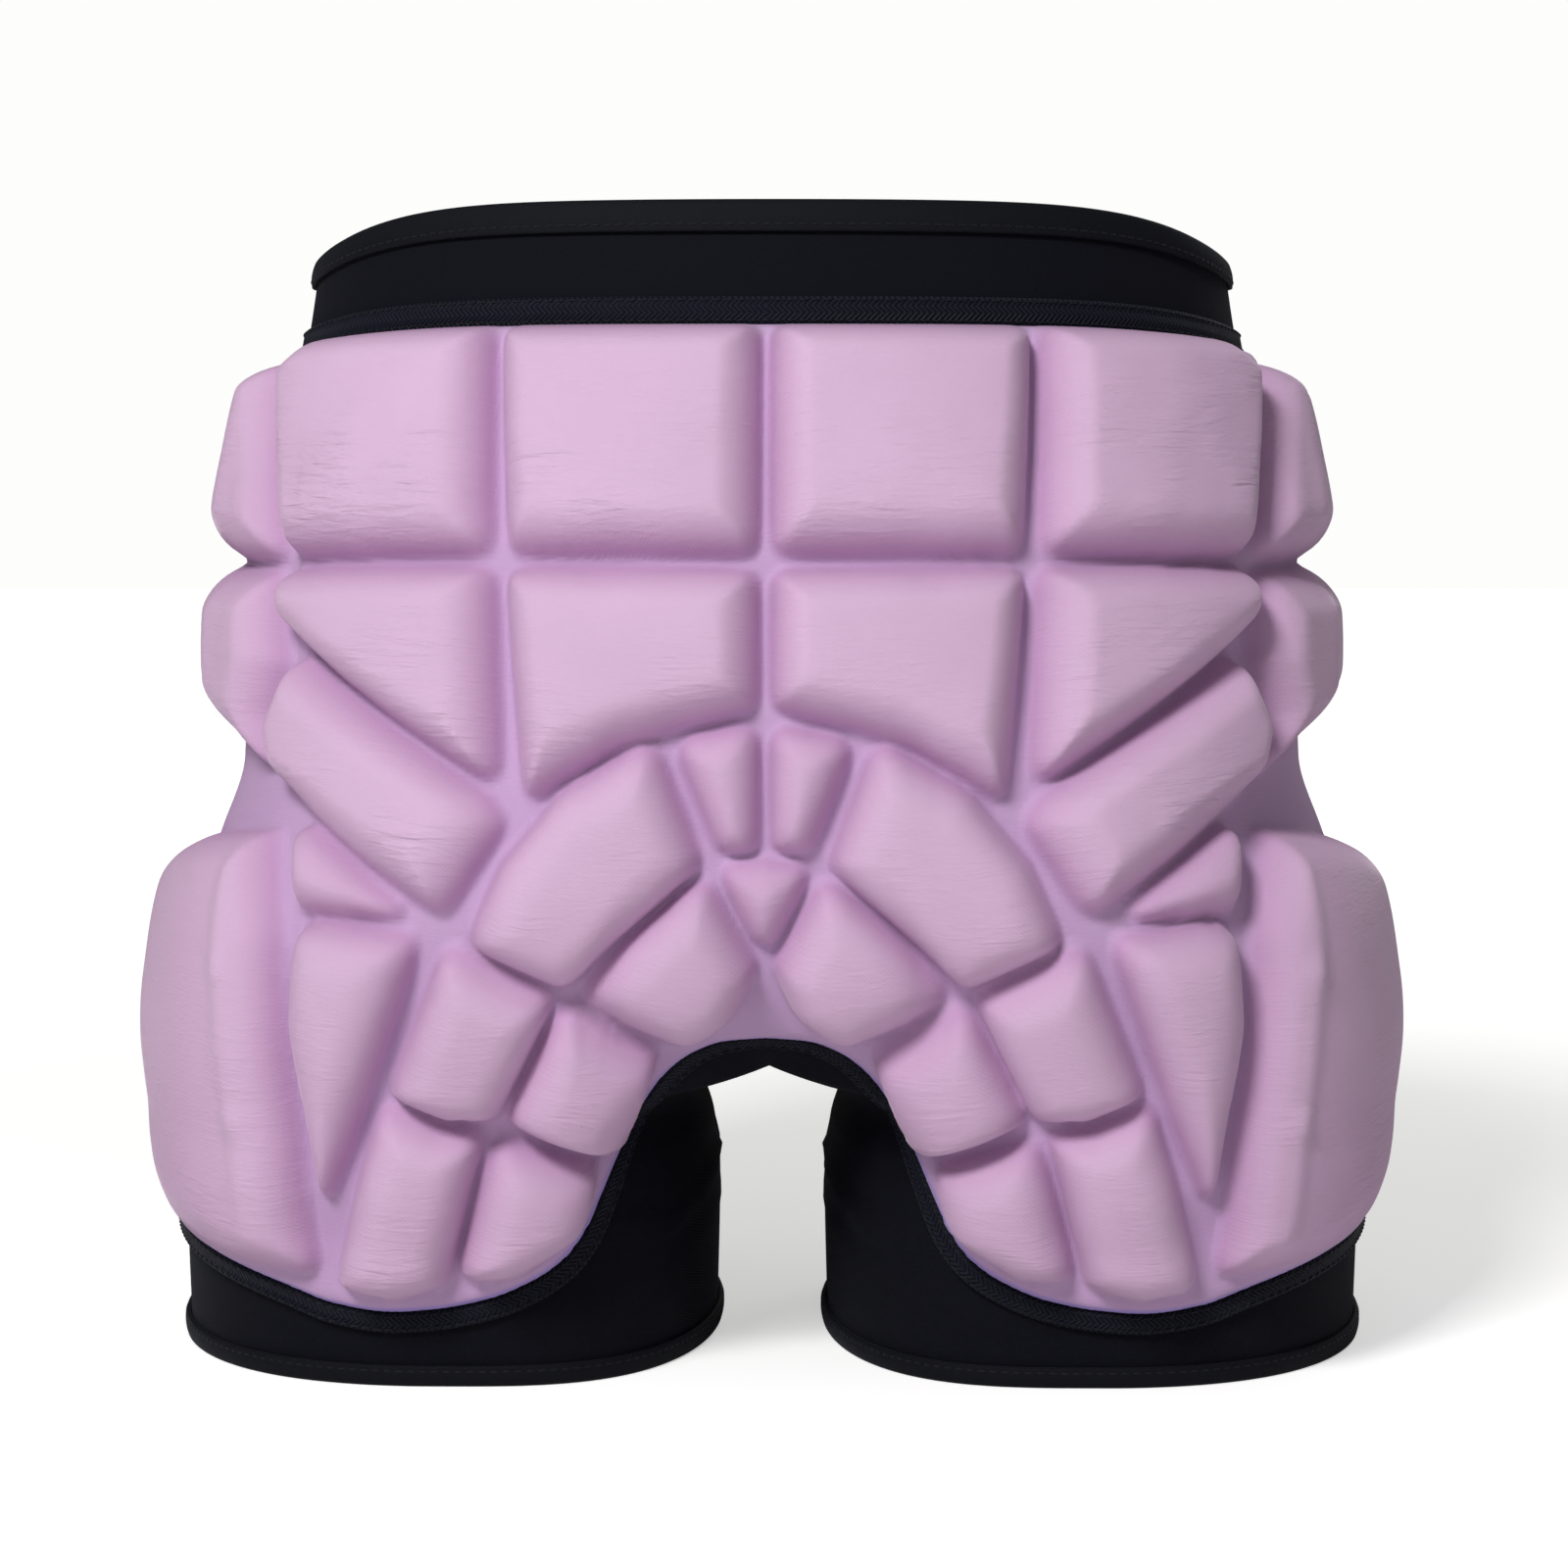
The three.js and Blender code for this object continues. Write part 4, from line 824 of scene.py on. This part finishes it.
def beside_low_edge(distance):
    """Places of the chart at a distance outside the shell's lower edge."""
    line = np.stack([EDGE_ACROSS, along(SHELL_EDGE, 1, np.abs(EDGE_ACROSS))], -1)
    sx, sy = chart_scale(line[:, 0], line[:, 1])
    heading = np.gradient(line, axis=0) * np.stack([sx, sy], -1)
    heading /= np.linalg.norm(heading, axis=1, keepdims=True)
    for _ in range(3):
        heading = (heading + np.roll(heading, 1, 0) + np.roll(heading, -1, 0))
        heading[0], heading[-1] = heading[1], heading[-2]
        heading /= np.linalg.norm(heading, axis=1, keepdims=True)
    steps = 4
    for _ in range(steps):
        sx, sy = chart_scale(line[:, 0], line[:, 1])
        line = line + np.stack([heading[:, 1] / sx, -heading[:, 0] / sy], -1) * distance / steps
    return line


EDGE_ACROSS = np.linspace(-SHELL_EDGE[-1, 0], SHELL_EDGE[-1, 0], 421)
tape_section = [
    (EDGE_GAP, 0.0), (EDGE_GAP, TAPE_THICK - tape_edge), (EDGE_GAP + tape_edge, TAPE_THICK),
    (EDGE_GAP + EDGE_TAPE_WIDTH / 2, TAPE_THICK),
    (EDGE_GAP + EDGE_TAPE_WIDTH - tape_edge, TAPE_THICK),
    (EDGE_GAP + EDGE_TAPE_WIDTH, TAPE_THICK - tape_edge), (EDGE_GAP + EDGE_TAPE_WIDTH, 0.0),
]
lines = []
for distance, height in tape_section:
    line = beside_low_edge(distance)
    lines.append(chart_point(line[:, 0], line[:, 1], LAYER_GAP + height))
rings = np.stack(lines, 1)
n, m = rings.shape[:2]
run = np.concatenate([[0], np.cumsum(np.linalg.norm(np.diff(rings[:, 2], axis=0), axis=1))])
uv = np.stack([
    np.broadcast_to(run[:, None], (n, m)), np.broadcast_to([d for d, _ in tape_section], (n, m)),
], -1)
faces = [
    [i * m + k, (i + 1) * m + k, (i + 1) * m + (k + 1) % m, i * m + (k + 1) % m]
    for i in range(n - 1) for k in range(m)
]
faces += [list(range(m)), [(n - 1) * m + k for k in reversed(range(m))]]
edge_tape = make_object("lower_edge_tape", rings.reshape(-1, 3), faces, uv.reshape(-1, 2))
for piece, cad in ((waist_tape, "waist_tape"), (edge_tape, "shell_edge_tape")):
    piece.data.materials.append(twill)
    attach(piece, "root")
    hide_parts(cad)

# The stitches: rows of black thread that close the bindings and hold both edges of each tape.
# Each stitch is a short rounded bead of thread laid along its row, a little proud of the cloth.
STITCH, PITCH, THREAD = 0.0026, 0.0034, 0.00032
# How high the middle of a bead stands over a tape, and over the fuller bindings.
ON_TAPE, ON_BINDING = 0.0001, 0.0004
# How far each row runs inside the edge of its strip.
WAIST_ROW, HEM_ROW, TAPE_ROW, EDGE_TAPE_ROW = 0.0016, 0.0012, 0.0011, 0.001


def stitch_tree():
    """Rows of stitches along lines: inputs are the stitch's length, pitch, thread and material."""
    tree = bpy.data.node_groups.new("stitch_rows", "GeometryNodeTree")
    tree.interface.new_socket(name="Lines", in_out="INPUT", socket_type="NodeSocketGeometry")
    for name in ("Length", "Pitch", "Thread"):
        tree.interface.new_socket(name=name, in_out="INPUT", socket_type="NodeSocketFloat")
    tree.interface.new_socket(name="Material", in_out="INPUT", socket_type="NodeSocketMaterial")
    tree.interface.new_socket(name="Stitches", in_out="OUTPUT", socket_type="NodeSocketGeometry")
    source, sink = node(tree, "NodeGroupInput"), node(tree, "NodeGroupOutput")
    curve = node(tree, "GeometryNodeMeshToCurve")
    even = node(tree, "GeometryNodeResampleCurve", mode="LENGTH")
    bead = node(tree, "GeometryNodeMeshUVSphere", {"Segments": 6, "Rings": 5, "Radius": 0.5})
    size = node(tree, "ShaderNodeCombineXYZ")
    stretch = node(tree, "GeometryNodeTransform")
    tangent = node(tree, "GeometryNodeInputTangent")
    align = node(tree, "FunctionNodeAlignRotationToVector", axis="X")
    place = node(tree, "GeometryNodeInstanceOnPoints")
    real = node(tree, "GeometryNodeRealizeInstances")
    paint = node(tree, "GeometryNodeSetMaterial")
    link = tree.links.new
    link(source.outputs["Lines"], curve.inputs["Mesh"])
    link(curve.outputs[0], even.inputs["Curve"])
    link(source.outputs["Pitch"], even.inputs["Length"])
    link(source.outputs["Length"], size.inputs[0])
    link(source.outputs["Thread"], size.inputs[1])
    link(source.outputs["Thread"], size.inputs[2])
    link(bead.outputs["Mesh"], stretch.inputs["Geometry"])
    link(size.outputs[0], stretch.inputs["Scale"])
    link(even.outputs[0], place.inputs["Points"])
    link(stretch.outputs[0], place.inputs["Instance"])
    link(tangent.outputs[0], align.inputs["Vector"])
    link(align.outputs[0], place.inputs["Rotation"])
    link(place.outputs[0], real.inputs[0])
    link(real.outputs[0], paint.inputs["Geometry"])
    link(source.outputs["Material"], paint.inputs["Material"])
    link(paint.outputs[0], sink.inputs[0])
    return tree


def round_line(stations, height, lift):
    """A closed line round the garment at one height, lifted off the fabric."""
    return [
        round_point(side, way, height / HEIGHT, lift).tolist() for side, way in stations + stations[:1]
    ]


on_tape, on_binding = SEAM_GAP + TAPE_THICK + ON_TAPE, SEAM_GAP + BINDING_WALL + ON_BINDING
stitch_lines = [
    round_line(WAIST_STATIONS, HEIGHT - WAIST_BINDING + WAIST_ROW, on_binding),
    round_line(WAIST_STATIONS, tape_low + TAPE_ROW, on_tape),
    round_line(WAIST_STATIONS, tape_low + TAPE_WIDTH - TAPE_ROW, on_tape),
    round_line(leg_stations(-1), HEM_BINDING - HEM_ROW, on_binding),
    round_line(leg_stations(1), HEM_BINDING - HEM_ROW, on_binding),
]
for distance in (EDGE_GAP + EDGE_TAPE_ROW, EDGE_GAP + EDGE_TAPE_WIDTH - EDGE_TAPE_ROW):
    line = beside_low_edge(distance)
    stitch_lines.append(chart_point(line[:, 0], line[:, 1], LAYER_GAP + TAPE_THICK + ON_TAPE).tolist())
points, wires = [], []
for line in stitch_lines:
    wires += [(len(points) + k, len(points) + k + 1) for k in range(len(line) - 1)]
    points += line
wire = bpy.data.meshes.new("stitch_lines")
wire.from_pydata(points, wires, [])
guide = bpy.data.objects.new("stitch_lines", wire)
bpy.context.scene.collection.objects.link(guide)
THREAD_BLACK = (0.009, 0.0095, 0.013, 1)
thread = cloth_material("black_thread", THREAD_BLACK, 0.55, 3000.0, 0.1, sheen=0.1)
rows_of = guide.modifiers.new("rows", "NODES")
rows_of.node_group = stitch_tree()
inputs = {s.name: s.identifier for s in rows_of.node_group.interface.items_tree if s.in_out == "INPUT"}
for name, value in (("Length", STITCH), ("Pitch", PITCH), ("Thread", 2 * THREAD), ("Material", thread)):
    rows_of[inputs[name]] = value
graph = bpy.context.evaluated_depsgraph_get()
stitched = bpy.data.meshes.new_from_object(guide.evaluated_get(graph))
bpy.data.objects.remove(guide)
stitched.shade_smooth()
stitches = bpy.data.objects.new("stitches", stitched)
bpy.context.scene.collection.objects.link(stitches)
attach(stitches, "root")

# The stage: a pale seamless floor that fades into a pale backdrop, as round a product on paper.
# A soft key light stands above on the left, with weak ones on the right and in front of the wearer.
# The camera stands low behind the garment, at the photo's angle.
AMBIENT, NEAR_GLOW, FAR_GLOW = 0.15, 0.5, 0.95
FLOOR_REACH, FLOOR_DEPTH = 6, 0.01
floor = make_object(
    "floor",
    [
        (x * FLOOR_REACH, y * FLOOR_REACH, z)
        for z in (-FLOOR_DEPTH, 0)
        for x, y in ((-1, -1), (1, -1), (1, 1), (-1, 1))
    ],
    [[0, 3, 2, 1], [4, 5, 6, 7], [0, 1, 5, 4], [1, 2, 6, 5], [2, 3, 7, 6], [3, 0, 4, 7]],
)
paper = bpy.data.materials.new("pale_floor")
paper.use_nodes = True
tree = paper.node_tree
shader = tree.nodes["Principled BSDF"]
shader.inputs["Base Color"].default_value = (0.9, 0.9, 0.89, 1)
shader.inputs["Roughness"].default_value = 1.0
shader.inputs["Specular IOR Level"].default_value = 0.0
shader.inputs["Emission Color"].default_value = (1, 1, 0.99, 1)
# The floor glows for the camera only, a painted brightening: weaker near the garment so that its shadows
# show, full far off where it meets the white background.
where = node(tree, "ShaderNodeTexCoord")
reach = node(tree, "ShaderNodeVectorMath", operation="LENGTH")
glow = node(
    tree, "ShaderNodeMapRange", {"From Min": 0.3, "From Max": 1.6, "To Min": NEAR_GLOW, "To Max": FAR_GLOW}
)
glow.interpolation_type = "SMOOTHSTEP"
seen = node(tree, "ShaderNodeLightPath")
tree.links.new(where.outputs["Object"], reach.inputs[0])
tree.links.new(reach.outputs["Value"], glow.inputs["Value"])
shown_glow = math_node(tree, "MULTIPLY", glow.outputs[0], seen.outputs["Is Camera Ray"])
tree.links.new(shown_glow, shader.inputs["Emission Strength"])
floor.data.materials.append(paper)

scene = bpy.context.scene
world = bpy.data.worlds.new("studio")
scene.world = world
world.use_nodes = True
tree = world.node_tree
backdrop = tree.nodes["Background"]
backdrop.inputs["Color"].default_value = (0.985, 0.985, 0.975, 1)
seen = node(tree, "ShaderNodeLightPath")
level = node(tree, "ShaderNodeMapRange", {"To Min": AMBIENT, "To Max": 1.0})
tree.links.new(seen.outputs["Is Camera Ray"], level.inputs["Value"])
tree.links.new(level.outputs[0], backdrop.inputs["Strength"])
AIM = Vector((0.0036, MIDDLE_Y, 0.1645))
# Name, place, size in metres and power in watts.
LIGHTS = (
    ("key", (-0.66, -1.58, 1.5), 0.5, 34.0),
    ("fill", (1.5, -1.6, 0.8), 1.4, 0.6),
    ("front", (0.7, 1.7, 1.3), 1.2, 7.0),
)
for name, spot, size, power in LIGHTS:
    lamp = bpy.data.lights.new(name, "AREA")
    lamp.size, lamp.energy = size, power
    thing = bpy.data.objects.new(name, lamp)
    thing.location = spot
    thing.rotation_mode = "QUATERNION"
    thing.rotation_quaternion = (AIM - Vector(spot)).to_track_quat("-Z", "Y")
    scene.collection.objects.link(thing)
DISTANCE, ELEVATION, AZIMUTH = 1.2, math.radians(5.0), math.radians(0.7)
camera = bpy.data.objects.new("camera", bpy.data.cameras.new("camera"))
camera.data.lens, camera.data.sensor_width = 90, 36
back = Vector((
    math.sin(AZIMUTH) * math.cos(ELEVATION), -math.cos(AZIMUTH) * math.cos(ELEVATION), math.sin(ELEVATION),
))
camera.location = AIM + back * DISTANCE
camera.rotation_mode = "QUATERNION"
camera.rotation_quaternion = (-back).to_track_quat("-Z", "Y")
scene.collection.objects.link(camera)
scene.camera = camera
scene.view_settings.view_transform = "Standard"
